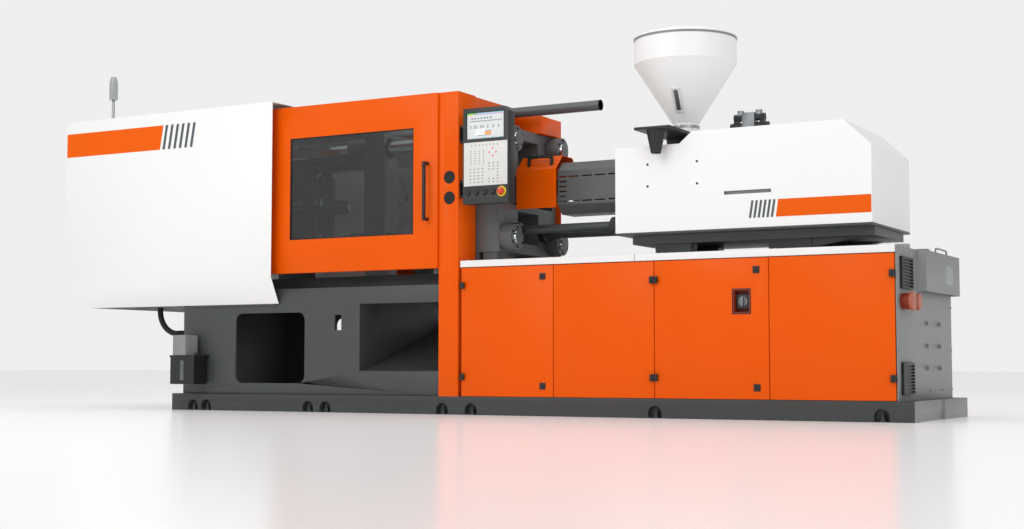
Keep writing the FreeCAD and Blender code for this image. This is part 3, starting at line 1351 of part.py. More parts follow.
def build():
    """Make every sub-part in the order in which the machine goes together."""
    make_base_frame()
    make_anchor_feet()
    make_clamp_bed()
    make_cabinet()
    make_table()
    make_doors()
    make_isolator()
    make_rear_panels()
    make_fixed_platen()
    make_moving_platen()
    make_end_platen()
    make_links()
    make_crosshead()
    make_clamp_cylinder()
    make_tie_bars()
    make_ejector()
    make_clamp_cover()
    make_gate(-1, "front")
    make_gate(1, "rear")
    make_fixed_guard()
    make_platen_guard()
    make_overhead_tube()
    make_beacon()
    make_panel()
    make_carriage()
    make_feed_block()
    make_barrel()
    make_screw()
    make_thrust_block()
    make_barrel_cover()
    make_injection_cover()
    make_traverse()
    make_hopper()
    make_valves()
    make_purge_guard()
    make_end()
    make_lubrication()
    make_hose()
    make_power_pack()


def check():
    """Stop unless every object computed and every sub-part is a valid, non-empty shape."""
    for thing in doc.Objects:
        if "Invalid" in thing.State or "Error" in thing.State:
            raise RuntimeError(f"{thing.Label} ({thing.Name}) did not compute: {thing.State}")
    for name, thing in pieces.items():
        shape = thing.Shape
        if shape.isNull() or not shape.isValid() or shape.Volume <= 0 or not shape.Solids:
            raise RuntimeError(f"{name} has no sound shape")


def export():
    """Write one file for each sub-part."""
    os.makedirs("parts", exist_ok=True)
    for name, thing in pieces.items():
        thing.Shape.exportStep(os.path.join("parts", f"{name}.step"))


build()
doc.recompute()
check()
export()
print(f"{len(pieces)} sub-parts")
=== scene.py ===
"""Looks of a horizontal injection moulding machine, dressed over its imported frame.

The frame carries every moving body and every piece of real size. This file gives each of those
pieces its finish and adds the small parts that only show: latches, keys, gaskets, screws,
stripes, sight glass and caps. Millimetres of the row frame are used throughout; one factor
turns them to metres when a mesh is made.
"""

from __future__ import annotations

import json
import logging
import math
from dataclasses import dataclass, field
from enum import Enum
from typing import Callable, Iterable, Sequence

import bmesh
import bpy
from mathutils import Matrix, Vector

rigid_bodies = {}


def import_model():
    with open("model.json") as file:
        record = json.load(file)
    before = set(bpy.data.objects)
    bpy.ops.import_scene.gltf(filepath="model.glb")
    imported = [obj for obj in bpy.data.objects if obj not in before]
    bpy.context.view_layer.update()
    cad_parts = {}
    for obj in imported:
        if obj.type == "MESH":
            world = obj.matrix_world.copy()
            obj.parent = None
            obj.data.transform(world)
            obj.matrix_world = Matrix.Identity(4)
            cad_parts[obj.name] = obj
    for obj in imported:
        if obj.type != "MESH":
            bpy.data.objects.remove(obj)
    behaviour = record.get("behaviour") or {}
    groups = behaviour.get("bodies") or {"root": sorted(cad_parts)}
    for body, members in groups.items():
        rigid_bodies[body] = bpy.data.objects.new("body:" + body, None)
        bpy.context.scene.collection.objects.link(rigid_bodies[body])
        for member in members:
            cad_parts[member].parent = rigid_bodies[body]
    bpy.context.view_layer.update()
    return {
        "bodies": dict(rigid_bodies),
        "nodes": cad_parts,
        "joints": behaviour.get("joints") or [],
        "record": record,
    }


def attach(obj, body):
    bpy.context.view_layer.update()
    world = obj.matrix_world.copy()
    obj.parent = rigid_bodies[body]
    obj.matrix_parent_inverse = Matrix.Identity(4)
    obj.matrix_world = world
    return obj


LOG = logging.getLogger("moulding_machine")
MM = 0.001
Triple = Sequence[float]
Pair = tuple[float, float]


def linear(hex_colour: str) -> tuple[float, float, float, float]:
    """Turn an sRGB hex value into linear light.

    Args:
        hex_colour: six hex digits.

    Returns:
        Red, green, blue and an alpha of one.
    """
    parts = [int(hex_colour[start:start + 2], 16) / 255 for start in (0, 2, 4)]
    light = [p / 12.92 if p <= 0.04045 else ((p + 0.055) / 1.055) ** 2.4 for p in parts]
    return (light[0], light[1], light[2], 1.0)


def add(tree: bpy.types.NodeTree, kind: str, sockets: dict | None = None, **settings) -> bpy.types.Node:
    """Add one node with its settings and links.

    Args:
        tree: the material's or world's node tree.
        kind: the node's type name.
        sockets: values or output sockets for the node's inputs, by name or number.
        **settings: the node's own properties.

    Returns:
        The new node.
    """
    node = tree.nodes.new(kind)
    for name, value in settings.items():
        setattr(node, name, value)
    for key, value in (sockets or {}).items():
        if isinstance(value, bpy.types.NodeSocket):
            tree.links.new(value, node.inputs[key])
        else:
            node.inputs[key].default_value = value
    return node


class Axis(Enum):
    """A row axis, as the index of its coordinate."""

    X = 0
    Y = 1
    Z = 2


class Side(Enum):
    """The side of the machine a piece is on, as the sign of Y."""

    OPERATOR = -1
    FAR = 1


@dataclass(frozen=True)
class Finish:
    """What every finish states: a maker's name, its colour and how the light meets it."""

    name: str
    colour: str
    roughness: float
    metallic: float = 0.0
    coat: float = 0.0
    grain_mm: float = 4.0
    relief_mm: float = 0.05
    tone: float = 0.04
    stretch: tuple[float, float, float] = (1.0, 1.0, 1.0)
    shine: float = 0.5

    def material(self) -> bpy.types.Material:
        """Make the material, or fetch it if it was made before.

        Returns:
            The material.
        """
        made = bpy.data.materials.get(self.name)
        if made is not None:
            return made
        made = bpy.data.materials.new(self.name)
        made.use_nodes = True
        tree = made.node_tree
        tree.nodes.clear()
        out = add(tree, "ShaderNodeOutputMaterial")
        shader = add(tree, "ShaderNodeBsdfPrincipled", {"Metallic": self.metallic, "Coat Weight": self.coat,
                                                        "Coat Roughness": 0.12,
                                                        "Specular IOR Level": self.shine})
        tree.links.new(shader.outputs[0], out.inputs["Surface"])
        self.weave(tree, shader)
        return made

    def place(self, tree: bpy.types.NodeTree) -> bpy.types.NodeSocket:
        """Row-frame coordinates, drawn out along the way the surface was worked."""
        where = add(tree, "ShaderNodeTexCoord")
        return add(tree, "ShaderNodeMapping", {"Vector": where.outputs["Object"],
                                               "Scale": self.stretch}).outputs[0]

    def weave(self, tree: bpy.types.NodeTree, shader: bpy.types.Node) -> None:
        """Give the shader a broad drift of tone, a varied gloss and a fine relief.

        Args:
            tree: the material's node tree.
            shader: its Principled shader.
        """
        where = self.place(tree)
        fine = add(tree, "ShaderNodeTexNoise", {"Vector": where, "Scale": 1 / (self.grain_mm * MM),
                                                "Detail": 3.0})
        broad = add(tree, "ShaderNodeTexNoise", {"Vector": where, "Scale": 1 / (420 * MM), "Detail": 4.0})
        rgb = linear(self.colour)
        dark = tuple(c * (1 - self.tone) for c in rgb[:3]) + (1.0,)
        light = tuple(min(1.0, c * (1 + self.tone)) for c in rgb[:3]) + (1.0,)
        tone = add(tree, "ShaderNodeMix", {"Factor": broad.outputs["Fac"], 6: dark, 7: light},
                   data_type="RGBA")
        tree.links.new(tone.outputs[2], shader.inputs["Base Color"])
        gloss = add(tree, "ShaderNodeMapRange", {"Value": fine.outputs["Fac"],
                                                 "To Min": self.roughness * 0.85,
                                                 "To Max": min(1.0, self.roughness * 1.2)})
        tree.links.new(gloss.outputs[0], shader.inputs["Roughness"])
        bump = add(tree, "ShaderNodeBump", {"Height": self.relief(tree, fine.outputs["Fac"], where),
                                            "Strength": 0.35, "Distance": self.relief_mm * MM})
        tree.links.new(bump.outputs[0], shader.inputs["Normal"])

    def relief(self, tree: bpy.types.NodeTree, fine: bpy.types.NodeSocket,
               where: bpy.types.NodeSocket) -> bpy.types.NodeSocket:
        """Height of the surface: plain grain unless a finish has a pattern of its own."""
        return fine


@dataclass(frozen=True)
class Polycarbonate(Finish):
    """Smoke-tinted polycarbonate sheet, extruded: clear but darker than what is behind it."""

    def weave(self, tree: bpy.types.NodeTree, shader: bpy.types.Node) -> None:
        """Pass light through, with the faint waviness of extruded sheet.

        Args:
            tree: the material's node tree.
            shader: its Principled shader.
        """
        for name, value in (("Base Color", linear(self.colour)), ("Transmission Weight", 1.0),
                            ("IOR", 1.58), ("Roughness", self.roughness)):
            shader.inputs[name].default_value = value
        waves = add(tree, "ShaderNodeTexNoise", {"Vector": self.place(tree),
                                                 "Scale": 1 / (self.grain_mm * MM)})
        bump = add(tree, "ShaderNodeBump", {"Height": waves.outputs["Fac"], "Strength": 0.1,
                                            "Distance": self.relief_mm * MM})
        tree.links.new(bump.outputs[0], shader.inputs["Normal"])


@dataclass(frozen=True)
class TreadPlate(Finish):
    """White coated tread plate, rolled: crossed raised bars every pitch that catch the light."""

    pitch_mm: float = 36.0

    def relief(self, tree: bpy.types.NodeTree, fine: bpy.types.NodeSocket,
               where: bpy.types.NodeSocket) -> bpy.types.NodeSocket:
        """Draw bars that turn by a right angle from one cell to the next.

        Args:
            tree: the material's node tree.
            fine: the fine noise that other finishes use.
            where: the coordinates to draw on.

        Returns:
            The height for the bump.
        """
        def calc(operation: str, *values) -> bpy.types.NodeSocket:
            """One sum on sockets or numbers."""
            return add(tree, "ShaderNodeMath", dict(enumerate(values)), operation=operation).outputs[0]

        axes = add(tree, "ShaderNodeSeparateXYZ", {"Vector": where}).outputs
        pitch = 1 / (self.pitch_mm * MM)
        along = calc("MULTIPLY", calc("ADD", axes[0], axes[1]), pitch)
        over = calc("MULTIPLY", calc("SUBTRACT", axes[0], axes[1]), pitch)
        turn = calc("MODULO", calc("ADD", calc("ADD", calc("FLOOR", along), calc("FLOOR", over)), 1000.0),
                    2.0)
        first = calc("POWER", calc("MULTIPLY", calc("SUBTRACT", calc("FRACT", along), 0.5), 2.0), 2.0)
        second = calc("POWER", calc("MULTIPLY", calc("SUBTRACT", calc("FRACT", over), 0.5), 2.0), 2.0)
        bar = calc("ADD", calc("MULTIPLY", first, 1.3), calc("MULTIPLY", second, 14.0))
        cross = calc("ADD", calc("MULTIPLY", first, 14.0), calc("MULTIPLY", second, 1.3))
        both = add(tree, "ShaderNodeMix", {"Factor": turn, 2: bar, 3: cross}, data_type="FLOAT").outputs[0]
        return add(tree, "ShaderNodeMapRange", {"Value": both, "From Min": 0.7, "From Max": 1.1,
                                                "To Min": 1.0, "To Max": 0.0}).outputs[0]


@dataclass(frozen=True)
class Backlit(Finish):
    """Backlit film of a display: it gives its own light and hardly any gloss."""

    glow: float = 0.55

    def weave(self, tree: bpy.types.NodeTree, shader: bpy.types.Node) -> None:
        """Set an even glow of the film's own colour."""
        super().weave(tree, shader)
        shader.inputs["Emission Color"].default_value = linear(self.colour)
        shader.inputs["Emission Strength"].default_value = self.glow


# Powder coat, sprayed and baked: even colour, soft gloss and a fine orange peel of about 1 mm,
# drawn at 5 mm so that it shows.
ORANGE_COAT = Finish("orange_powder_coat", "EE5C00", 0.34, grain_mm=5, relief_mm=0.06, shine=0.14)
WHITE_COAT = Finish("white_powder_coat", "F7F7F6", 0.38, coat=0.1, grain_mm=5, relief_mm=0.05, tone=0.01)
GREY_COAT = Finish("grey_powder_coat", "8A8C8C", 0.45, grain_mm=4, relief_mm=0.06)
DARK_COAT = Finish("dark_grey_enamel", "454848", 0.42, grain_mm=6, relief_mm=0.08, tone=0.08)
SKIRT_COAT = Finish("base_enamel", "3C3F3F", 0.4, grain_mm=6, relief_mm=0.08, tone=0.1)
# Painted shade: a near-black grey laid on hollows, bores and parts deep inside the machine, where shade
# falls; the table seam, a dark joint between the plates, takes it too.
PAINTED_SHADE_AND_SEAM_COAT = Finish("painted_shade_and_seam_enamel", "2E3030", 0.55, grain_mm=6, relief_mm=0.08, tone=0.1)
COVER_COAT = Finish("barrel_cover_enamel", "616565", 0.4, grain_mm=3, relief_mm=0.06)
SATIN_BLACK = Finish("satin_black_enamel", "1B1D1D", 0.4, grain_mm=3, relief_mm=0.05)
# Cast iron, sand cast and painted: pebbled skin of about 2 mm under a thick grey paint.
CASTING = Finish("painted_casting", "5C6061", 0.5, grain_mm=9, relief_mm=0.5, tone=0.12)
# Milled steel face: flat grey with faint cutter paths.
MILLED = Finish("milled_face", "B4B7B8", 0.36, metallic=0.55, grain_mm=3, relief_mm=0.03,
                stretch=(1, 1, 0.15))
# Hard chrome on ground bar: mirror bright, faint lines round the bar.
CHROME = Finish("ground_chrome", "D6D8DA", 0.12, metallic=1.0, grain_mm=2, relief_mm=0.008, tone=0.02,
                stretch=(4, 1, 1))
# Turned steel: bright, with fine rings from the tool.
STEEL = Finish("turned_steel", "9FA2A4", 0.3, metallic=1.0, grain_mm=2, relief_mm=0.02, stretch=(3, 1, 1))
ZINC = Finish("zinc_plated_steel", "A9ADAF", 0.35, metallic=1.0, grain_mm=5, relief_mm=0.02, tone=0.12)
VALVE_STEEL = Finish("phosphated_steel", "7E8285", 0.4, metallic=0.8, grain_mm=4, relief_mm=0.03, tone=0.1)
LINK_STEEL = Finish("blackened_steel", "4A4D4E", 0.4, metallic=0.85, grain_mm=4, relief_mm=0.04)
MICA = Finish("heater_band_sheet", "8B7F70", 0.35, metallic=0.9, grain_mm=6, relief_mm=0.05, tone=0.2)
# ABS and polyamide, moulded: spark-eroded texture of 0.3 mm, drawn at 1.5 mm so that it shows.
BLACK_ABS = Finish("black_moulded_abs", "202323", 0.5, grain_mm=1.5, relief_mm=0.06)
HOUSING = Finish("charcoal_moulded_housing", "2D3130", 0.46, grain_mm=1.5, relief_mm=0.06)
KEY_GREY = Finish("grey_printed_key", "8F9292", 0.5, grain_mm=1.5, relief_mm=0.02)
KEYPAD = Finish("light_polyester_overlay", "DEDEDC", 0.42, grain_mm=1.5, relief_mm=0.02, tone=0.01)
KEY_ORANGE = Finish("orange_printed_key", "E8601C", 0.45, grain_mm=1.5, relief_mm=0.02)
YELLOW = Finish("yellow_moulded_ring", "E3C21A", 0.4, grain_mm=1.5, relief_mm=0.03)
STOP_RED = Finish("red_moulded_stop", "D8401A", 0.3, coat=0.3, grain_mm=1.5, relief_mm=0.02)
SOCKET_RED = Finish("red_moulded_socket", "8E2F10", 0.45, grain_mm=1.5, relief_mm=0.04)
CAP_RED = Finish("socket_cap", "B5604A", 0.4, grain_mm=1.5, relief_mm=0.04)
LAMP = Finish("grey_lamp_dome", "9EA3A4", 0.25, coat=0.5, grain_mm=3, relief_mm=0.02)
# EPDM rubber, extruded: dull black with faint drawn lines.
RUBBER = Finish("extruded_rubber", "161717", 0.7, grain_mm=3, relief_mm=0.06)
WINDOW = Polycarbonate("smoked_polycarbonate", "8E9595", 0.02, grain_mm=90, relief_mm=0.05)
SIGHT = Finish("smoked_sight_glass", "565B5B", 0.15, coat=0.6, grain_mm=20, relief_mm=0.01)
TREAD = TreadPlate("white_tread_plate", "F2F2F1", 0.4, grain_mm=5, relief_mm=1.2, tone=0.01)
STRIPE_ORANGE = Finish("orange_vinyl_stripe", "F06000", 0.35, grain_mm=4, relief_mm=0.01, tone=0.01,
                       shine=0.14)
STRIPE_GREY = Finish("grey_vinyl_bar", "4F585C", 0.4, grain_mm=4, relief_mm=0.01, tone=0.01)
FILM_GREY = Backlit("display_film_grey", "B9BCBC", 0.5)
FILM_WHITE = Backlit("display_film_white", "E9ECEC", 0.5)
FILM_DARK = Backlit("display_film_dark", "6E7476", 0.5, glow=0.2)
FILM_CYAN = Backlit("display_film_cyan", "52C0C4", 0.5)
FILM_GREEN = Backlit("display_film_green", "35C22E", 0.5)
FILM_PURPLE = Backlit("display_film_purple", "B56FC4", 0.5)
FILM_ORANGE = Backlit("display_film_orange", "F08A3C", 0.5)


class Blank:
    """A mesh in the making, in millimetres of the row frame."""

    def __init__(self, name: str) -> None:
        """Start an empty mesh under the name its object will have."""
        self.name = name
        self.bm = bmesh.new()

    def settle(self, verts: Iterable[bmesh.types.BMVert], matrix: Matrix, round_mm: float,
               segments: int) -> "Blank":
        """Put a new shape in place and round its sharp edges.

        Args:
            verts: the shape's vertices.
            matrix: where it goes.
            round_mm: radius of its edges, or zero.
            segments: steps across each rounded edge.

        Returns:
            The same blank.
        """
        verts = list(verts)
        bmesh.ops.transform(self.bm, matrix=matrix, verts=verts)
        edges = {edge for vert in verts for edge in vert.link_edges}
        sharp = [edge for edge in edges if edge.is_manifold and edge.calc_face_angle(0.0) > 0.6]
        if round_mm > 0 and sharp:
            bmesh.ops.bevel(self.bm, geom=sharp, offset=round_mm, segments=segments, profile=0.5,
                            affect="EDGES", clamp_overlap=True)
        return self

    def box(self, low: Triple, high: Triple, round_mm: float = 1.0, segments: int = 2) -> "Blank":
        """Add a box with rounded edges between two corners.

        Args:
            low: the lowest corner or start, in millimetres.
            high: the highest corner or end, in millimetres.
            round_mm: radius of the softened edges.
            segments: steps in each softened edge.

        Returns:
            This blank.
        """
        low_corner, high_corner = Vector(low), Vector(high)
        made = bmesh.ops.create_cube(self.bm, size=1.0)["verts"]
        size = high_corner - low_corner
        place = Matrix.Translation((low_corner + high_corner) / 2) @ Matrix.Diagonal((*size, 1.0))
        return self.settle(made, place, round_mm, segments)

    def turn(self, axis: Axis, centre: Triple, outline: Sequence[Pair], sides: int = 40) -> "Blank":
        """Spin an outline of (along, radius) pairs about an axis through a centre.

        Args:
            axis: the axis it follows.
            centre: a point on that axis, or the middle.
            outline: pairs of place along the axis and radius.
            sides: steps round the circle.

        Returns:
            This blank.
        """
        rings = []
        for along, radius in outline:
            ring = []
            for step in range(sides):
                angle = 2 * math.pi * step / sides
                spot = [radius * math.cos(angle), radius * math.sin(angle)]
                spot.insert(axis.value, along)
                ring.append(self.bm.verts.new(Vector(spot) + Vector(centre)))
            rings.append(ring)
        for first, second in zip(rings, rings[1:]):
            for step in range(sides):
                other = (step + 1) % sides
                self.bm.faces.new((first[step], first[other], second[other], second[step]))
        for ring in (rings[0], rings[-1]):
            self.bm.faces.new(ring)
        return self

    def slab(self, axis: Axis, corners: Sequence[Pair], low: float, high: float,
             round_mm: float = 0.0) -> "Blank":
        """Stretch a flat outline along an axis from low to high.

        Args:
            axis: the axis it follows.
            corners: the two other coordinates of each corner.
            low: the lowest corner or start, in millimetres.
            high: the highest corner or end, in millimetres.
            round_mm: radius of the softened edges.

        Returns:
            This blank.
        """
        def lay(pair: Pair, along: float) -> Vector:
            """One corner in space."""
            spot = list(pair)
            spot.insert(axis.value, along)
            return Vector(spot)

        first = [self.bm.verts.new(lay(pair, low)) for pair in corners]
        second = [self.bm.verts.new(lay(pair, high)) for pair in corners]
        self.bm.faces.new(first)
        self.bm.faces.new(second)
        for step in range(len(corners)):
            other = (step + 1) % len(corners)
            self.bm.faces.new((first[step], first[other], second[other], second[step]))
        return self.settle(first + second, Matrix(), round_mm, 2)

    def border(self, axis: Axis, low: Pair, high: Pair, width: float, deep: Pair,
               round_mm: float = 0.6) -> "Blank":
        """Four strips round a rectangle that faces along an axis, such as a gasket or bezel.

        Args:
            axis: the axis it follows.
            low: the lowest corner or start, in millimetres.
            high: the highest corner or end, in millimetres.
            width: the strips' width.
            deep: where the strips start and end along the axis.
            round_mm: radius of the softened edges.

        Returns:
            This blank.
        """
        (a0, b0), (a1, b1) = low, high
        strips = [((a0 - width, b0 - width), (a1 + width, b0)), ((a0 - width, b1), (a1 + width, b1 + width)),
                  ((a0 - width, b0), (a0, b1)), ((a1, b0), (a1 + width, b1))]
        for first, second in strips:
            corner, far = list(first), list(second)
            corner.insert(axis.value, deep[0])
            far.insert(axis.value, deep[1])
            self.box(corner, far, round_mm, 2)
        return self

    def sweep(self, path: Sequence[Triple], radius: float, sides: int = 14) -> "Blank":
        """Draw a round bar along points.

        Args:
            path: the points, in millimetres.
            radius: the bar's radius.
            sides: steps round the circle.

        Returns:
            This blank.
        """
        points = [Vector(point) for point in path]
        rings = []
        side = None
        for step, point in enumerate(points):
            way = (points[min(step + 1, len(points) - 1)] - points[max(step - 1, 0)]).normalized()
            side = (way.orthogonal() if side is None else side - way * side.dot(way)).normalized()
            other = way.cross(side)
            turns = [2 * math.pi * number / sides for number in range(sides)]
            rings.append([self.bm.verts.new(point + radius * (side * math.cos(turn) + other * math.sin(turn)))
                          for turn in turns])
        for first, second in zip(rings, rings[1:]):
            for step in range(sides):
                other_step = (step + 1) % sides
                self.bm.faces.new((first[step], first[other_step], second[other_step], second[step]))
        self.bm.faces.new(rings[0])
        self.bm.faces.new(rings[-1])
        return self

    def fit(self, body: str, finish: Finish, slot: str, matrix: Matrix | None = None) -> bpy.types.Object:
        """Make the object, dress it and let it ride on a body.

        Args:
            body: the frame body that carries it.
            finish: its finish.
            slot: the record's material slot; not used.
            matrix: a turn in millimetres to apply first, if the piece is tilted.

        Returns:
            The finished object.
        """
        if matrix is not None:
            bmesh.ops.transform(self.bm, matrix=matrix, verts=self.bm.verts[:])
        bmesh.ops.recalc_face_normals(self.bm, faces=self.bm.faces[:])
        bmesh.ops.scale(self.bm, vec=(MM, MM, MM), verts=self.bm.verts[:])
        mesh = bpy.data.meshes.new(self.name)
        self.bm.to_mesh(mesh)
        self.bm.free()
        mesh.polygons.foreach_set("use_smooth", [True] * len(mesh.polygons))
        mesh.set_sharp_from_angle(angle=math.radians(32))
        mesh.materials.append(finish.material())
        made = bpy.data.objects.new(self.name, mesh)
        bpy.context.scene.collection.objects.link(made)
        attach(made, body)
        LOG.info("made %s on %s with %d faces", self.name, body, len(mesh.polygons))
        return made


Zone = tuple[Callable[[float, float, float], bool], Finish]


@dataclass
class Assembly:
    """What every sub-assembly shares: the loaded frame and the way to dress its pieces."""

    frame: dict

    def dress(self, node: str, finish: Finish, edge_mm: float = 0.0, zones: Sequence[Zone] = ()) -> None:
        """Give a frame piece its finish, other finishes in some zones, and soft edges.

        Args:
            node: the frame piece.
            finish: its main finish.
            edge_mm: width of the softened edge, or zero to leave the edges as they are.
            zones: tests on a face's centre in millimetres, each with the finish it gets.
        """
        piece = self.frame["nodes"][node]
        mesh = piece.data
        mesh.materials.clear()
        for other in [finish] + [zone[1] for zone in zones]:
            mesh.materials.append(other.material())
        for face in mesh.polygons:
            x, y, z = (value / MM for value in face.center)
            face.material_index = next((index for index, (inside, _) in enumerate(zones, 1)
                                        if inside(x, y, z)), 0)
        if edge_mm > 0:
            weld = piece.modifiers.new("weld", "WELD")
            weld.merge_threshold = 0.02 * MM
            edge = piece.modifiers.new("soft_edges", "BEVEL")
            edge.width, edge.segments = edge_mm * MM, 2
            edge.limit_method, edge.angle_limit = "ANGLE", math.radians(40)
            edge.harden_normals = True
            for face in mesh.polygons:
                face.use_smooth = True
        LOG.info("dressed %s", node)

    def screws(self, name: str, body: str, axis: Axis, way: int, spots: Iterable[Triple], radius: float,
               finish: Finish = ZINC, slot: str = "machine_steel") -> None:
        """Fit socket-head screws, each with its hexagon socket, standing out along an axis.

        Args:
            name: name of the set.
            body: body that carries it.
            axis: axis the screws lie along.
            way: +1 or -1, the way the heads stand out.
            spots: seats of the heads.
            radius: radius of a head.
            finish: finish of the screws.
            slot: the record's material slot.
        """
        made = Blank(name)
        tall = radius * 0.9 * way
        for spot in spots:
            made.turn(axis, spot, [(0, radius), (tall * 0.86, radius), (tall, radius * 0.86),
                                   (tall, radius * 0.5),
                                   (tall * 0.4, radius * 0.5)], 18)
        made.fit(body, finish, slot)


@dataclass
class Base(Assembly):
    """Skirt, clamp bed, cabinet frame and table."""

    anchor_reach: float = 500.0
    table_top: float = 821.0

    def build(self) -> None:
        """Dress the base and add the screws of the table."""
        self.dress("base_frame", SKIRT_COAT, 2.0, [(lambda x, y, z: x > 2601, GREY_COAT)])
        self.dress("anchor_bolts", LINK_STEEL)
        # The zone inside the bed between x -457 and 68 mm is painted shade; the top strip is steel.
        self.dress("clamp_bed", DARK_COAT, 1.5, [
            (lambda x, y, z: 770.5 > z > 769.5 and x < 205, STEEL),
            (lambda x, y, z: -457.5 < x < 68.5 and abs(y) < 470 and 230 < z < 560, PAINTED_SHADE_AND_SEAM_COAT)])
        # The cabinet frame behind the doors is painted shade; only its top edge is steel.
        self.dress("cabinet_frame", PAINTED_SHADE_AND_SEAM_COAT, 0.0, [(lambda x, y, z: z > 821.5, STEEL)])
        self.dress("table_plate", TREAD, 2.0)
        self.dress("rear_panels", ORANGE_COAT, 2.0)
        self.dress("power_pack", GREY_COAT, 4.0)
        spots = [(x, y, self.table_top) for x in (240, 800, 1370, 1960, 2510) for y in (-500, 500)]
        self.screws("table_screws", "machine_base", Axis.Z, 1, spots, 5.0)
        self.seams()

    def seams(self) -> None:
        """Add the butt seams of the table's two plates and the bed's bolted joint."""
        seam = Blank("table_seam").box((1229, -524.6, 787), (1231, 524.6, 821.4), 0.3)
        seam.fit("machine_base", PAINTED_SHADE_AND_SEAM_COAT, "bed_enamel")
        pads = [(x, -self.anchor_reach, 24) for x in (-1640, -1540, -800, -680, 90, 270, 1934, 2474)]
        washers = Blank("anchor_washers")
        for x, y, z in pads + [(x, -y, z) for x, y, z in pads]:
            washers.turn(Axis.Z, (x, y, z), [(0, 10.5), (2, 10.5), (2.6, 9.6), (6, 9.6), (6.4, 8.0)], 6)
        washers.fit("machine_base", LINK_STEEL, "machine_steel")


@dataclass
class Doors(Assembly):
    """Four cabinet doors, their hinges and latches, and the main isolator."""

    face: float = -520.0
    latch: float = 34.0
    high: float = 724.0
    low: float = 155.0
    latched: dict[str, float] = field(default_factory=lambda: {"door_one": 704.0, "door_three": 1872.0})

    def build(self) -> None:
        """Dress the doors and add latches, the isolator's bezel and its plate."""
        for name in ("door_one", "door_two", "door_three", "door_four"):
            self.dress(name, ORANGE_COAT, 1.6)
        self.dress("door_hinges", SATIN_BLACK, 0.8)
        for door, centre in self.latched.items():
            self.latches(door, centre)
        self.dress("isolator_box", SOCKET_RED, 1.0)
        self.dress("isolator_handle", VALVE_STEEL, 1.0)
        bezel = Blank("isolator_bezel").border(Axis.Y, (1752, 515), (1838, 629), 5,
                                               (self.face - 2.2, self.face + 1), 0.8)
        bezel.fit("door_three", SATIN_BLACK, "black_enamel")
        plate = Blank("isolator_plate").box((1762, self.face + 21, 538), (1828, self.face + 23, 606), 0.8)
        for number in range(12):
            angle = math.radians(30 * number)
            plate.box((1795 + 29 * math.cos(angle) - 1, self.face + 20.2, 572 + 29 * math.sin(angle) - 1),
                      (1795 + 29 * math.cos(angle) + 1, self.face + 21, 572 + 29 * math.sin(angle) + 1), 0)
        plate.fit("door_three", HOUSING, "panel_plastic")

    def latches(self, door: str, centre: float) -> None:
        """Add the two quarter-turn latches of a door: square body, round insert and slot.

        Args:
            door: the door's name.
            centre: a point on that axis, or the middle.
        """
        half = self.latch / 2
        body = Blank(f"{door}_latches")
        slots = Blank(f"{door}_latch_inserts")
        for height in (self.high, self.low):
            body.box((centre - half, self.face - 5, height - half),
                     (centre + half, self.face, height + half), 2.0, 3)
            slots.turn(Axis.Y, (centre, self.face, height),
                       [(-5, 10), (-7, 10), (-7.6, 9.2), (-7.6, 3.5), (-5.2, 3.5)], 28)
        body.fit(door, BLACK_ABS, "black_enamel")
        slots.fit(door, SATIN_BLACK, "black_enamel")


@dataclass
class ClampCover(Assembly):
    """White cover over the toggle, its stripes, the beacon, lubrication unit and line hose."""

    face: float = -590.0

    def build(self) -> None:
        """Dress the cover and add band, bars, beacon ribs and the oiler's fittings."""
        self.dress("clamp_cover", WHITE_COAT, 2.5)
        self.dress("beacon", LAMP, 0.8, [(lambda x, y, z: z < 1926, STEEL)])
        self.dress("lubrication_unit", SATIN_BLACK, 2.0, [(lambda x, y, z: z > 322, GREY_COAT)])
        self.dress("line_hose", RUBBER)
        band = Blank("clamp_stripe_band").slab(
            Axis.Y, [(-2622, 1554), (-1861, 1554), (-1836, 1700), (-2622, 1700)], self.face - 0.6,
            self.face + 0.2)
        band.fit("machine_base", STRIPE_ORANGE, "orange_enamel")
        bars = Blank("clamp_stripe_bars")
        for step in range(6):
            left = -1842 + step * 42.6
            bars.slab(Axis.Y, [(left, 1554), (left + 19, 1554), (left + 44, 1700), (left + 25, 1700)],
                      self.face - 0.6, self.face + 0.2)
        bars.fit("machine_base", STRIPE_GREY, "grey_enamel")
        ribs = Blank("beacon_ribs")
        for height in range(1940, 2030, 14):
            ribs.turn(Axis.Z, (-2406, -420, height), [(0, 26.2), (1.5, 27.4), (5, 27.4), (6.5, 26.2)], 36)
        ribs.fit("machine_base", LAMP, "lamp_plastic")
        self.oiler()

    def oiler(self) -> None:
        """Add the level window, filler cap and hose rings of the lubrication unit."""
        level = Blank("oil_level_window").box((-1640, -637.4, 175), (-1612, -633, 292), 3.0, 3)
        level.fit("machine_base", SIGHT, "black_enamel")
        cap = Blank("oil_filler_cap").turn(Axis.Z, (-1560, -580, 322),
                                           [(0, 17), (12, 17), (14, 15), (14, 6), (18, 5)], 20)
        cap.fit("machine_base", BLACK_ABS, "black_enamel")
        rings = Blank("hose_rings")
        for step in range(34):
            x = -1875 + step * 4.2
            rings.turn(Axis.X, (x, -390, 455), [(0, 17.1), (0.7, 18.2), (2.1, 18.2), (2.8, 17.1)], 20)
        rings.fit("machine_base", RUBBER, "hose_rubber")


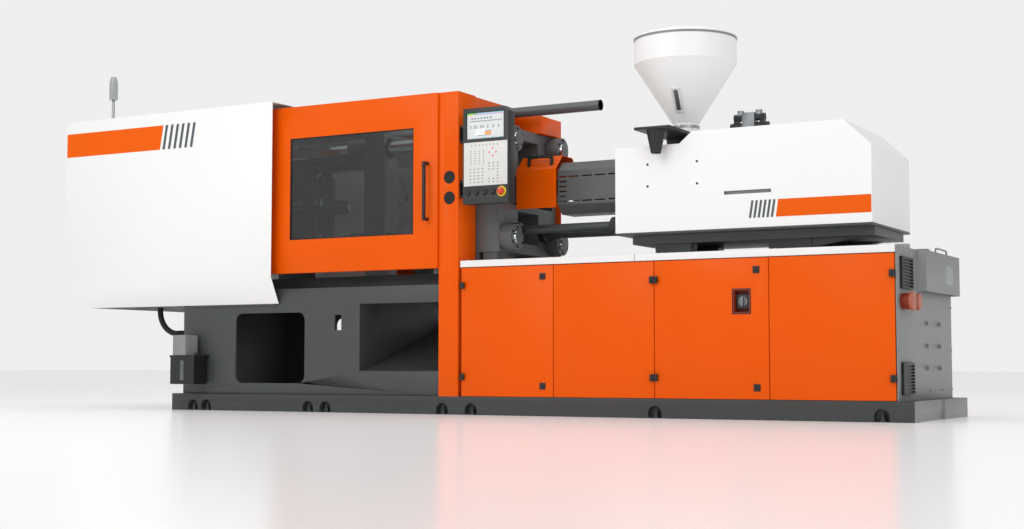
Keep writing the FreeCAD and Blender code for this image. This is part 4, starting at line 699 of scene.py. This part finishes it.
@dataclass
class SafetyGate(Assembly):
    """A sliding gate with its smoked window, gasket, screws and bow handle."""

    side: Side = Side.OPERATOR
    low: Pair = (-926.0, 976.0)
    high: Pair = (-87.0, 1558.0)

    def build(self) -> None:
        """Dress the gate and window and add the gasket, pane clips and handle screws."""
        name = "front_gate" if self.side is Side.OPERATOR else "rear_gate"
        sign = self.side.value
        self.dress(name, ORANGE_COAT, 2.0, [(lambda x, y, z: abs(y) > 535.4, BLACK_ABS)])
        self.dress(f"{name}_window", WINDOW)
        deep = sorted((sign * 534.0, sign * 529.4))
        gasket = Blank(f"{name}_gasket").border(Axis.Y, (self.low[0] + 6, self.low[1] + 6),
                                                (self.high[0] - 6, self.high[1] - 6), 6, (deep[0], deep[1]),
                                                1.2)
        gasket.fit(name, RUBBER, "panel_plastic")
        clips = Blank(f"{name}_pane_clips")
        inner = sorted((sign * 522.8, sign * 514.0))
        for x in (-880, -640, -400, -160):
            for z in (968, 1566):
                clips.box((x - 16, inner[0], z - 9), (x + 16, inner[1], z + 9), 2.0)
        clips.fit(name, ZINC, "machine_steel")
        spots = [(6, sign * 583.0, z) for z in (1072, 1336)]
        self.screws(f"{name}_handle_screws", name, Axis.Y, sign, spots, 4.5, SATIN_BLACK, "black_enamel")


@dataclass
class Guards(Assembly):
    """Orange posts and bridge, platen guard, overhead tube and the purge guard."""

    def build(self) -> None:
        """Dress the guards and add their grommets and the tube's end lip."""
        # The hollow guard's inner walls, orange like the rest, are painted shade; the black bracket past x
        # 190.5 mm and the steel face are real colours.
        self.dress("fixed_guard", ORANGE_COAT, 2.0, [
            (lambda x, y, z: x > 190.5, SATIN_BLACK),
            (lambda x, y, z: x < 69.5 and abs(y) < 497, STEEL),
            (lambda x, y, z: 71.5 < x < 187.6 and 338.4 < abs(y) < 517.6 and 99 < z < 1739.6, PAINTED_SHADE_AND_SEAM_COAT)])
        self.dress("platen_guard", ORANGE_COAT, 2.0)
        # The tube's bore is painted shade.
        self.dress("overhead_tube", COVER_COAT, 0.0, [
            (lambda x, y, z: math.hypot(y, z - 1692) < 26 and x > 199, PAINTED_SHADE_AND_SEAM_COAT)])
        ring = Blank("guard_port_rims")
        for height in (1276, 1164):
            ring.turn(Axis.Y, (135, -520, height), [(1, 31.4), (-0.3, 31.6), (-0.4, 33), (-0.3, 35),
                                                    (0.5, 35.2)], 44)
        ring.fit("machine_base", RUBBER, "panel_plastic")
        lip = Blank("tube_end_lip").turn(Axis.X, (792, 0, 1692),
                                         [(-5, 29.1), (-4, 30.2), (-1, 30.2), (0, 29.4),
                                                                  (0, 25.1), (-5, 25.0)], 44)
        lip.fit("machine_base", RUBBER, "black_enamel")
        self.purge()

    def purge(self) -> None:
        """Dress the purge guard, whose arch handle is black, and add the handle's bow and feet."""
        def is_handle(x: float, y: float, z: float) -> bool:
            """True on the handle, which stands off the sloping face."""
            slope = 1340 + (y + 136) * 79 / 76
            return 394 < x < 552 and -118.6 < y < -102.9 and slope + 0.8 < z < 1420.4

        self.dress("purge_guard", ORANGE_COAT, 0.0, [(is_handle, BLACK_ABS)])
        arch = Blank("purge_guard_arch")
        path = [(402, -111, 1366), (402, -111, 1384), (404, -111, 1396), (410, -111, 1405), (420, -111, 1410),
                (440, -111, 1412), (473, -111, 1413), (506, -111, 1412), (526, -111, 1410), (536, -111, 1405),
                (542, -111, 1396), (544, -111, 1384), (544, -111, 1366)]
        arch.sweep(path, 8.6, 16)
        arch.fit("purge_guard", BLACK_ABS, "panel_plastic")


@dataclass
class ControlPanel(Assembly):
    """Swivelling operator's panel: housing, display, keypad, push buttons and stop button."""

    front: float = -566.0
    body: str = "control_panel"
    slot: str = "panel_plastic"
    buttons: tuple[float, ...] = (278.0, 330.0, 381.0, 431.0)
    row: float = 1177.0
    stop: float = 485.0

    def build(self) -> None:
        """Dress the housing and add its display, keypad and button rims."""
        self.dress("panel_housing", HOUSING, 3.0)
        for number in range(1, 5):
            self.dress(f"push_button_{number}", BLACK_ABS, 1.2)
        self.dress("stop_button", STOP_RED, 2.2)
        self.display()
        self.keypad()
        rims = Blank("button_rims")
        for x in self.buttons:
            rims.turn(Axis.Y, (x, self.front, self.row),
                      [(0.5, 13.6), (-1.5, 14.2), (-2, 15.4), (-1.5, 17.2), (0.5, 17.6)], 36)
        rims.fit(self.body, SATIN_BLACK, self.slot)
        ring = Blank("stop_ring").turn(Axis.Y, (self.stop, self.front, self.row),
                                       [(0.5, 14), (-2.2, 14), (-3.0, 15), (-3.0, 25.5), (-2.2, 27.6),
                                        (0.5, 28)], 48)
        ring.fit(self.body, YELLOW, self.slot)
        gasket = Blank("panel_back_seam").border(Axis.Y, (249.4, 1119.4), (523.6, 1602), 1.6,
                                                 (-520.6, -518), 0.2)
        gasket.fit(self.body, SATIN_BLACK, self.slot)

    def film(self, name: str, finish: Finish, patches: Iterable[tuple[float, float, float, float]],
             depth: float = -558.9) -> None:
        """Lay patches of one display colour, each as left, low, right, high.

        Args:
            name: the name of the piece.
            finish: its finish.
            patches: each patch as left, low, right, high.
            depth: where the patches stand on Y.
        """
        made = Blank(name)
        for left, low, right, high in patches:
            made.box((left, depth - 0.35, low), (right, depth + 0.35, high), 0.0)
        made.fit(self.body, finish, self.slot)

    def display(self) -> None:
        """Draw a plain page of status strips, readouts and a simple machine sketch."""
        self.film("display_page", FILM_GREY, [(270, 1466, 494, 1604)], -558.3)
        self.film("display_green", FILM_GREEN, [(272, 1597, 328, 1603), (272, 1590.5, 280, 1594)])
        self.film("display_cyan", FILM_CYAN, [(330, 1600, 492, 1603)] +
                  [(x, 1467.5, x + 17, 1471) for x in (304, 362, 420, 466)])
        self.film("display_purple", FILM_PURPLE, [(310, 1594, 492, 1598)])
        self.film("display_orange", FILM_ORANGE, [(282, 1590.5, 305, 1595), (378, 1487, 418, 1501)])
        self.film("display_white", FILM_WHITE, [(324, 1495, 352, 1517), (358, 1503, 376, 1517),
                                                (318, 1487, 376, 1491)])
        marks = [(296 + 19 * step, 1570, 305 + 19 * step, 1579) for step in range(7)]
        marks += [(288 + 8.5 * step, 1557, 294 + 8.5 * step, 1562) for step in range(23)]
        marks += [(x, 1533 - step * 6, x + 9, 1536 - step * 6) for x in (286, 310, 322, 350, 362, 392, 424,
                                                                         458)
                  for step in range(3)]
        marks += [(352, 1503, 358, 1506), (376, 1503, 420, 1506), (336, 1481, 412, 1484)]
        self.film("display_marks", FILM_DARK, marks)
        glass = Blank("display_frame").border(Axis.Y, (270, 1466), (494, 1604), 3, (-561, -557.5), 0.6)
        glass.fit(self.body, SATIN_BLACK, self.slot)

    def keypad(self) -> None:
        """Add the overlay with its printed keys and the diamond of arrow keys."""
        overlay = Blank("keypad_overlay").box((253.5, self.front - 0.5, 1213),
                                              (519.5, self.front + 0.4, 1446), 0.3)
        overlay.fit(self.body, KEYPAD, self.slot)
        keys = Blank("keypad_keys")
        deep = (self.front - 0.8, self.front - 0.4)

        def key(x: float, z: float, wide: float = 8.0, tall: float = 7.0) -> None:
            """One raised key."""
            keys.box((x - wide / 2, deep[0], z - tall / 2), (x + wide / 2, deep[1], z + tall / 2), 0.8)

        for step in range(8):
            key(303 + 22.4 * step, 1429, 5, 9)
        for column in range(4):
            for line in range(6):
                key(297 + 26 * column, 1398 - 13.2 * line, 7, 5)
        for column in range(4):
            for line in range(5):
                key(294 + 25 * column, 1302 - 17.5 * line, 12, 5)
        for column in range(3):
            for line in range(7):
                if line not in (3, 4) or column == 2:
                    key(409 + 26 * column, 1330 - 16.5 * line, 8, 7)
        keys.fit(self.body, KEY_GREY, self.slot)
        arrows = Blank("keypad_arrows")
        for turn in range(4):
            way = Vector((math.cos(turn * math.pi / 2), math.sin(turn * math.pi / 2)))
            across = Vector((-way.y, way.x))
            centre = Vector((431, 1388))
            corners = [centre + way * 27, centre + way * 17 + across * 7, centre + way * 17 - across * 7]
            arrows.slab(Axis.Y, [(corner.x, corner.y) for corner in corners], deep[0], deep[1])
        arrows.fit(self.body, KEY_ORANGE, self.slot)


@dataclass
class Clamp(Assembly):
    """Platens, tie bars, toggle links, crosshead, clamp cylinder and ejector."""

    spread: float = 270.0
    axis: float = 1230.0

    def build(self) -> None:
        """Dress the clamp and add screws, keeper plates and rod wipers."""
        self.dress("fixed_platen", CASTING, 4.0, [(lambda x, y, z: abs(x - 120) < 0.6, MILLED),
                                                  (lambda x, y, z: x > 336 and y > 138, STEEL)])
        self.dress("moving_platen", CASTING, 4.0, [(lambda x, y, z: abs(x + 415) < 0.6, MILLED)])
        self.dress("end_platen", CASTING, 4.0, [(lambda x, y, z: x < -1575.5, STEEL)])
        self.dress("tie_bars", CHROME, 1.5, [(lambda x, y, z: x > 335.2, CASTING)])
        for level in ("upper", "lower"):
            self.dress(f"rear_link_{level}", CASTING, 2.0)
            self.dress(f"front_link_{level}", CASTING, 2.0)
            self.dress(f"crosshead_link_{level}", LINK_STEEL, 1.5)
        self.dress("crosshead", CASTING, 2.0, [(lambda x, y, z: math.hypot(y, z - 1230) < 31 and x < -1102,
                                                CHROME)])
        self.dress("clamp_cylinder", GREY_COAT, 2.0, [(lambda x, y, z: x > -1376, CHROME)])
        self.dress("ejector_rod", CHROME)
        corners = [(y, self.axis + z) for y in (-self.spread, self.spread) for z in (-self.spread,
                                                                                     self.spread)]
        spots = []
        for y, z in corners:
            for step in range(6):
                angle = math.radians(60 * step + 30)
                spots.append((415.0, y + 55 * math.cos(angle), z + 55 * math.sin(angle)))
        self.screws("tie_nut_screws", "machine_base", Axis.X, 1, spots, 6.5, SATIN_BLACK)
        wipers = Blank("platen_bush_wipers")
        for y, z in corners:
            wipers.turn(Axis.X, (-415, y, z), [(-1, 41), (3, 41), (5, 43), (5, 56), (-1, 58)], 44)
        wipers.fit("moving_platen", RUBBER, "hose_rubber")
        self.screws("ejector_flange_screws", "moving_platen", Axis.X, -1,
                    self.ring(-572.0, 60, 4, 45.0), 5.0, ZINC)
        self.screws("clamp_flange_screws", "end_platen", Axis.X, -1, self.ring(-1605.0, 93, 8), 7.5, ZINC)
        for level, height in (("upper", 1525.0), ("lower", 935.0)):
            keepers = Blank(f"knee_keepers_{level}")
            for sign in (-1, 1):
                keepers.turn(Axis.Y, (-960, sign * 168, height),
                             [(0, 24), (sign * 5, 24), (sign * 6, 22), (sign * 6, 8),
                                                                  (sign * 3, 7)], 32)
            keepers.fit(f"front_link_{level}", ZINC, "machine_steel")

    def ring(self, x: float, radius: float, count: int, start: float = 0.0) -> list[Triple]:
        """Spots evenly round the machine's axis.

        Args:
            x: where the ring stands.
            radius: its radius.
            count: how many spots it has.
            start: the first spot's angle in degrees.

        Returns:
            The spots in millimetres.
        """
        angles = [math.radians(start + 360 * step / count) for step in range(count)]
        return [(x, radius * math.cos(angle), self.axis + radius * math.sin(angle)) for angle in angles]


@dataclass
class InjectionUnit(Assembly):
    """Carriage, barrel, white cover, hopper, valves and traverse cylinders."""

    face: float = -342.0
    hopper_x: float = 1294.0
    valve_x: float = 1655.0
    neck: Pair = (70.0, 1544.0)
    shoulder: Pair = (272.0, 1863.0)

    def build(self) -> None:
        """Dress the injection unit and add its stripes, screws and hopper fittings."""
        self.dress("injection_cover", WHITE_COAT)
        self.dress("barrel_cover", COVER_COAT, 0.0)
        self.dress("carriage", DARK_COAT, 2.0)
        self.dress("feed_block", DARK_COAT, 1.5)
        self.dress("barrel", STEEL, 0.6, [(lambda x, y, z: x > 290 and math.hypot(y, z - 1230) > 57, MICA)])
        self.dress("screw", STEEL)
        self.dress("thrust_block", DARK_COAT, 2.0, [(lambda x, y, z: x < 1708.5, CHROME)])
        # The traverse cylinders inside the carriage are painted shade all over.
        self.dress("traverse_cylinders", PAINTED_SHADE_AND_SEAM_COAT, 1.2)
        self.dress("traverse_rods", LINK_STEEL, 1.0)
        self.dress("slide_base", SATIN_BLACK, 1.0)
        self.dress("valve_stack", VALVE_STEEL, 1.0, [
            (lambda x, y, z: abs(x - self.valve_x) > 34.2 and (abs(z - 1508) < 20 or abs(z - 1554) < 19.5),
             SATIN_BLACK)])
        self.stripes()
        self.hopper()
        self.trim()

    def stripes(self) -> None:
        """Lay the band and its slanted bars low on the operator's side."""
        near, far = self.face - 0.6, self.face + 0.2
        band = Blank("injection_stripe_band").slab(
            Axis.Y, [(1911, 993), (2389, 993), (2389, 1080), (1924, 1080)], near, far)
        band.fit("carriage", STRIPE_ORANGE, "orange_enamel")
        bars = Blank("injection_stripe_bars")
        for step in range(6):
            left = 1771 + step * 22.8
            bars.slab(Axis.Y, [(left, 993), (left + 12, 993), (left + 26, 1080), (left + 14, 1080)], near,
                      far)
        bars.fit("carriage", STRIPE_GREY, "grey_enamel")
        tray = Blank("cover_slot_tray").box((1636, self.face + 12, 1111), (1893, self.face + 14, 1139), 1.0)
        tray.box((1636, self.face + 2.6, 1111), (1893, self.face + 14, 1115.5), 0.8)
        tray.box((1636, self.face + 2.6, 1134.5), (1893, self.face + 14, 1139), 0.8)
        tray.fit("carriage", GREY_COAT, "grey_enamel")

    def hopper(self) -> None:
        """Dress the hopper and add its rim bead, shoulder seam, neck clamp and sight glass."""
        self.dress("hopper", WHITE_COAT, 0.0)
        self.dress("hopper_lid", WHITE_COAT, 0.0)
        centre = (self.hopper_x, 0, 0)
        bead = Blank("hopper_rim_bead").turn(Axis.Z, centre,
                                             [(1990, 272.1), (1991, 274.5), (1998, 275.2), (2000.8, 274)], 96)
        bead.fit("hopper", GREY_COAT, "grey_enamel")
        seam = Blank("hopper_shoulder_seam").turn(Axis.Z, centre,
                                                  [(1861, 271.6), (1862, 273), (1865, 273), (1866, 272.1)],
                                                  96)
        seam.fit("hopper", WHITE_COAT, "hopper_sheet")
        clamp = Blank("hopper_neck_clamp").turn(Axis.Z, centre,
                                                [(1518, 70.2), (1519, 73.5), (1533, 73.5), (1534, 70.2)], 60)
        clamp.box((self.hopper_x - 10, -92, 1519), (self.hopper_x + 10, -71, 1533), 2.0)
        clamp.fit("hopper", ZINC, "machine_steel")
        knob = Blank("lid_knob").turn(Axis.Z, (self.hopper_x, 0, 2036), [(0, 9), (0.6, 9), (0.8, 6)], 24)
        knob.fit("hopper", BLACK_ABS, "panel_plastic")
        flange = [(self.hopper_x + 84 * math.cos(a), 84 * math.sin(a), 1507) for a in
                  (math.radians(45 + 90 * step) for step in range(4))]
        self.screws("hopper_foot_screws", "hopper", Axis.Z, 1, flange, 5.5, ZINC)
        self.sight_glass()

    def sight_glass(self) -> None:
        """Bolt a long sight glass to the cone, leaning with it."""
        widening, height = self.shoulder[0] - self.neck[0], self.shoulder[1] - self.neck[1]
        lean = math.atan2(widening, height)
        turn = math.radians(275)
        middle = 1655.0
        radius = self.neck[0] + (middle - self.neck[1]) * widening / height
        out = Vector((math.cos(turn), math.sin(turn), 0))
        spot = Vector((self.hopper_x, 0, middle)) + out * radius
        up = (out * math.sin(lean) + Vector((0, 0, math.cos(lean)))).normalized()
        normal = (out * math.cos(lean) - Vector((0, 0, math.sin(lean)))).normalized()
        across = up.cross(normal).normalized()
        place = Matrix.Translation(spot) @ Matrix((across, normal, up)).transposed().to_4x4()
        frame = Blank("sight_glass_frame").border(Axis.Y, (-12, -58), (12, 58), 11, (-3, 7), 1.5)
        frame.fit("hopper", KEYPAD, "hopper_sheet", place)
        pane = Blank("sight_glass_pane").box((-13, -2, -59), (13, 2.4, 59), 1.0)
        pane.fit("hopper", SIGHT, "window_sheet", place)
        studs = Blank("sight_glass_screws")
        for height in (-62, 62):
            studs.turn(Axis.Y, (0, 7, height), [(0, 3), (1.6, 3), (2.2, 2)], 14)
        studs.fit("hopper", ZINC, "machine_steel", place)

    def trim(self) -> None:
        """Add edge seals, plugs in the cover's holes, cylinder rings and valve screws."""
        plugs = Blank("cover_hole_plugs")
        for x in (1223, 1496):
            for z in (1182, 1295):
                plugs.turn(Axis.Y, (x, self.face, z),
                           [(1.5, 5.8), (0.8, 6.4), (-0.4, 6.4), (-0.6, 5.4), (0.6, 3.4)], 20)
        plugs.fit("carriage", BLACK_ABS, "panel_plastic")
        seal = Blank("barrel_cover_seal").border(Axis.X, (-74, 1090.4), (74, 1092), 2, (1034, 1038.4), 0.3)
        seal.fit("carriage", RUBBER, "hose_rubber")
        rings = Blank("traverse_gland_rings")
        for y in (-160, 160):
            rings.turn(Axis.X, (939, y, 1005), [(0, 27), (-3, 28), (-3, 43), (0, 45), (6, 48.4), (12, 48.4),
                                                (13, 48)], 44)
            rings.turn(Axis.X, (939, y, 1005), [(36, 48), (37, 50), (46, 50), (47, 48)], 44)
        rings.fit("carriage", SATIN_BLACK, "black_enamel")
        tops = [(self.valve_x + x, y, 1577.6) for x in (-24, 24) for y in (-20, 20)]
        self.screws("valve_screws", "carriage", Axis.Z, -1, tops, 4.0, SATIN_BLACK)


@dataclass
class EndPanel(Assembly):
    """Grey end of the machine: hood, louvres, capped power sockets and knobs."""

    face: float = 2552.0

    def build(self) -> None:
        """Dress the end and add its knobs, blank plate, handle bar and screws."""
        self.dress("end_panel", GREY_COAT, 1.5, [(lambda x, y, z: x > 2552.3 and y < -268, SATIN_BLACK)])
        self.dress("power_sockets", SOCKET_RED, 1.0, [(lambda x, y, z: x > 2594.5, CAP_RED)])
        knobs = Blank("end_knobs")
        for y in (-1, 243):
            for z in (467, 357, 250):
                knobs.turn(Axis.X, (self.face, y, z),
                           [(0, 12), (2, 12), (3, 9), (8, 9), (9, 11), (13, 11), (14, 9.5)], 28)
        knobs.fit("machine_base", GREY_COAT, "grey_enamel")
        plate = Blank("end_blank_plate").box((2597, 223, 669), (2598.6, 375, 760), 0.6)
        plate.fit("machine_base", ZINC, "machine_steel")
        bar = Blank("hood_handle").sweep([(2575, 120, 817), (2575, 120, 836), (2575, 126, 842),
                                          (2575, 160, 843),
                                          (2575, 300, 843), (2575, 334, 842), (2575, 340, 836),
                                          (2575, 340, 817)], 4.5)
        bar.fit("machine_base", GREY_COAT, "grey_enamel")
        ribs = Blank("socket_cap_ribs")
        for y, z, radius in ((-436, 560, 38.0), (-330, 560, 33.0)):
            for step in range(16):
                angle = 2 * math.pi * step / 16
                spot = (2594, y + (radius + 4.6) * math.cos(angle), z + (radius + 4.6) * math.sin(angle))
                ribs.turn(Axis.X, spot, [(2, 1.8), (14, 1.8)], 8)
        ribs.fit("machine_base", CAP_RED, "stop_plastic")
        edge = [(self.face, y, z) for y in (-500, 505) for z in (140, 340, 560)] + [(self.face, 60, 140),
                                                                                    (self.face, 300, 140)]
        self.screws("end_screws", "machine_base", Axis.X, 1, edge, 4.5)


@dataclass
class Studio:
    """Pale floor, soft light and the camera."""

    place: tuple[float, float, float] = (4.46208, -7.55516, 0.26268)
    turn: float = 29.251
    rise: float = 3.751
    lens: float = 54.06

    def build(self) -> None:
        """Set up the camera, the floor, the sky and the lamps."""
        scene = bpy.context.scene
        camera = bpy.data.objects.new("camera", bpy.data.cameras.new("camera"))
        scene.collection.objects.link(camera)
        camera.data.lens, camera.data.sensor_width = self.lens, 36.0
        camera.location = self.place
        camera.rotation_euler = (math.radians(90 + self.rise), 0.0, math.radians(self.turn))
        scene.camera = camera
        scene.view_settings.view_transform = "Standard"
        self.floor()
        self.sky()
        self.lamp("key_softbox", (-1.5, -6.5, 5.2), (0.0, 0.0, 0.9), 5.0, 165)
        self.lamp("fill_softbox", (6.5, -5.0, 3.2), (0.8, 0.0, 1.0), 3.5, 45)
        self.lamp("top_softbox", (0.5, 0.4, 5.5), (0.3, 0.0, 0.8), 4.5, 45)

    def floor(self) -> None:
        """Lay a wide pale floor with a faint sheen."""
        mesh = bpy.data.meshes.new("floor")
        mesh.from_pydata([(-60, -60, 0), (60, -60, 0), (60, 60, 0), (-60, 60, 0)], [], [(0, 1, 2, 3)])
        mesh.materials.append(Backlit("studio_floor", "FAFAFA", 0.2, tone=0.0, relief_mm=0.0, shine=0.16,
                                      glow=0.1).material())
        floor = bpy.data.objects.new("floor", mesh)
        bpy.context.scene.collection.objects.link(floor)

    def sky(self) -> None:
        """Fill the room with even white light."""
        world = bpy.data.worlds.new("studio")
        bpy.context.scene.world = world
        world.use_nodes = True
        tree = world.node_tree
        tree.nodes.clear()
        light = add(tree, "ShaderNodeBackground", {"Color": (1.0, 1.0, 1.0, 1.0), "Strength": 0.7})
        paper = add(tree, "ShaderNodeBackground", {"Color": (1.0, 1.0, 1.0, 1.0), "Strength": 0.86})
        seen = add(tree, "ShaderNodeLightPath").outputs["Is Camera Ray"]
        both = add(tree, "ShaderNodeMixShader", {0: seen, 1: light.outputs[0], 2: paper.outputs[0]})
        add(tree, "ShaderNodeOutputWorld", {"Surface": both.outputs[0]})

    def lamp(self, name: str, place: Triple, target: Triple, size: float, power: float) -> None:
        """Hang one square softbox.

        Args:
            name: its name.
            place: where it hangs, in metres.
            target: what it faces.
            size: side of the square, in metres.
            power: its power in watts.
        """
        data = bpy.data.lights.new(name, "AREA")
        data.shape, data.size, data.energy = "SQUARE", size, power
        lamp = bpy.data.objects.new(name, data)
        lamp.location = place
        lamp.rotation_euler = (Vector(target) - Vector(place)).to_track_quat("-Z", "Y").to_euler()
        bpy.context.scene.collection.objects.link(lamp)


def main() -> None:
    """Load the frame, build the studio, and dress and furnish every sub-assembly."""
    logging.basicConfig(level=logging.INFO, format="%(name)s: %(message)s")
    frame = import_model()
    Studio().build()
    assemblies = [Base(frame), Doors(frame), ClampCover(frame), SafetyGate(frame, Side.OPERATOR),
                  SafetyGate(frame, Side.FAR), Guards(frame), ControlPanel(frame), Clamp(frame),
                  InjectionUnit(frame), EndPanel(frame)]
    for assembly in assemblies:
        assembly.build()
        LOG.info("%s is done", type(assembly).__name__)


if __name__ == "__main__":
    main()
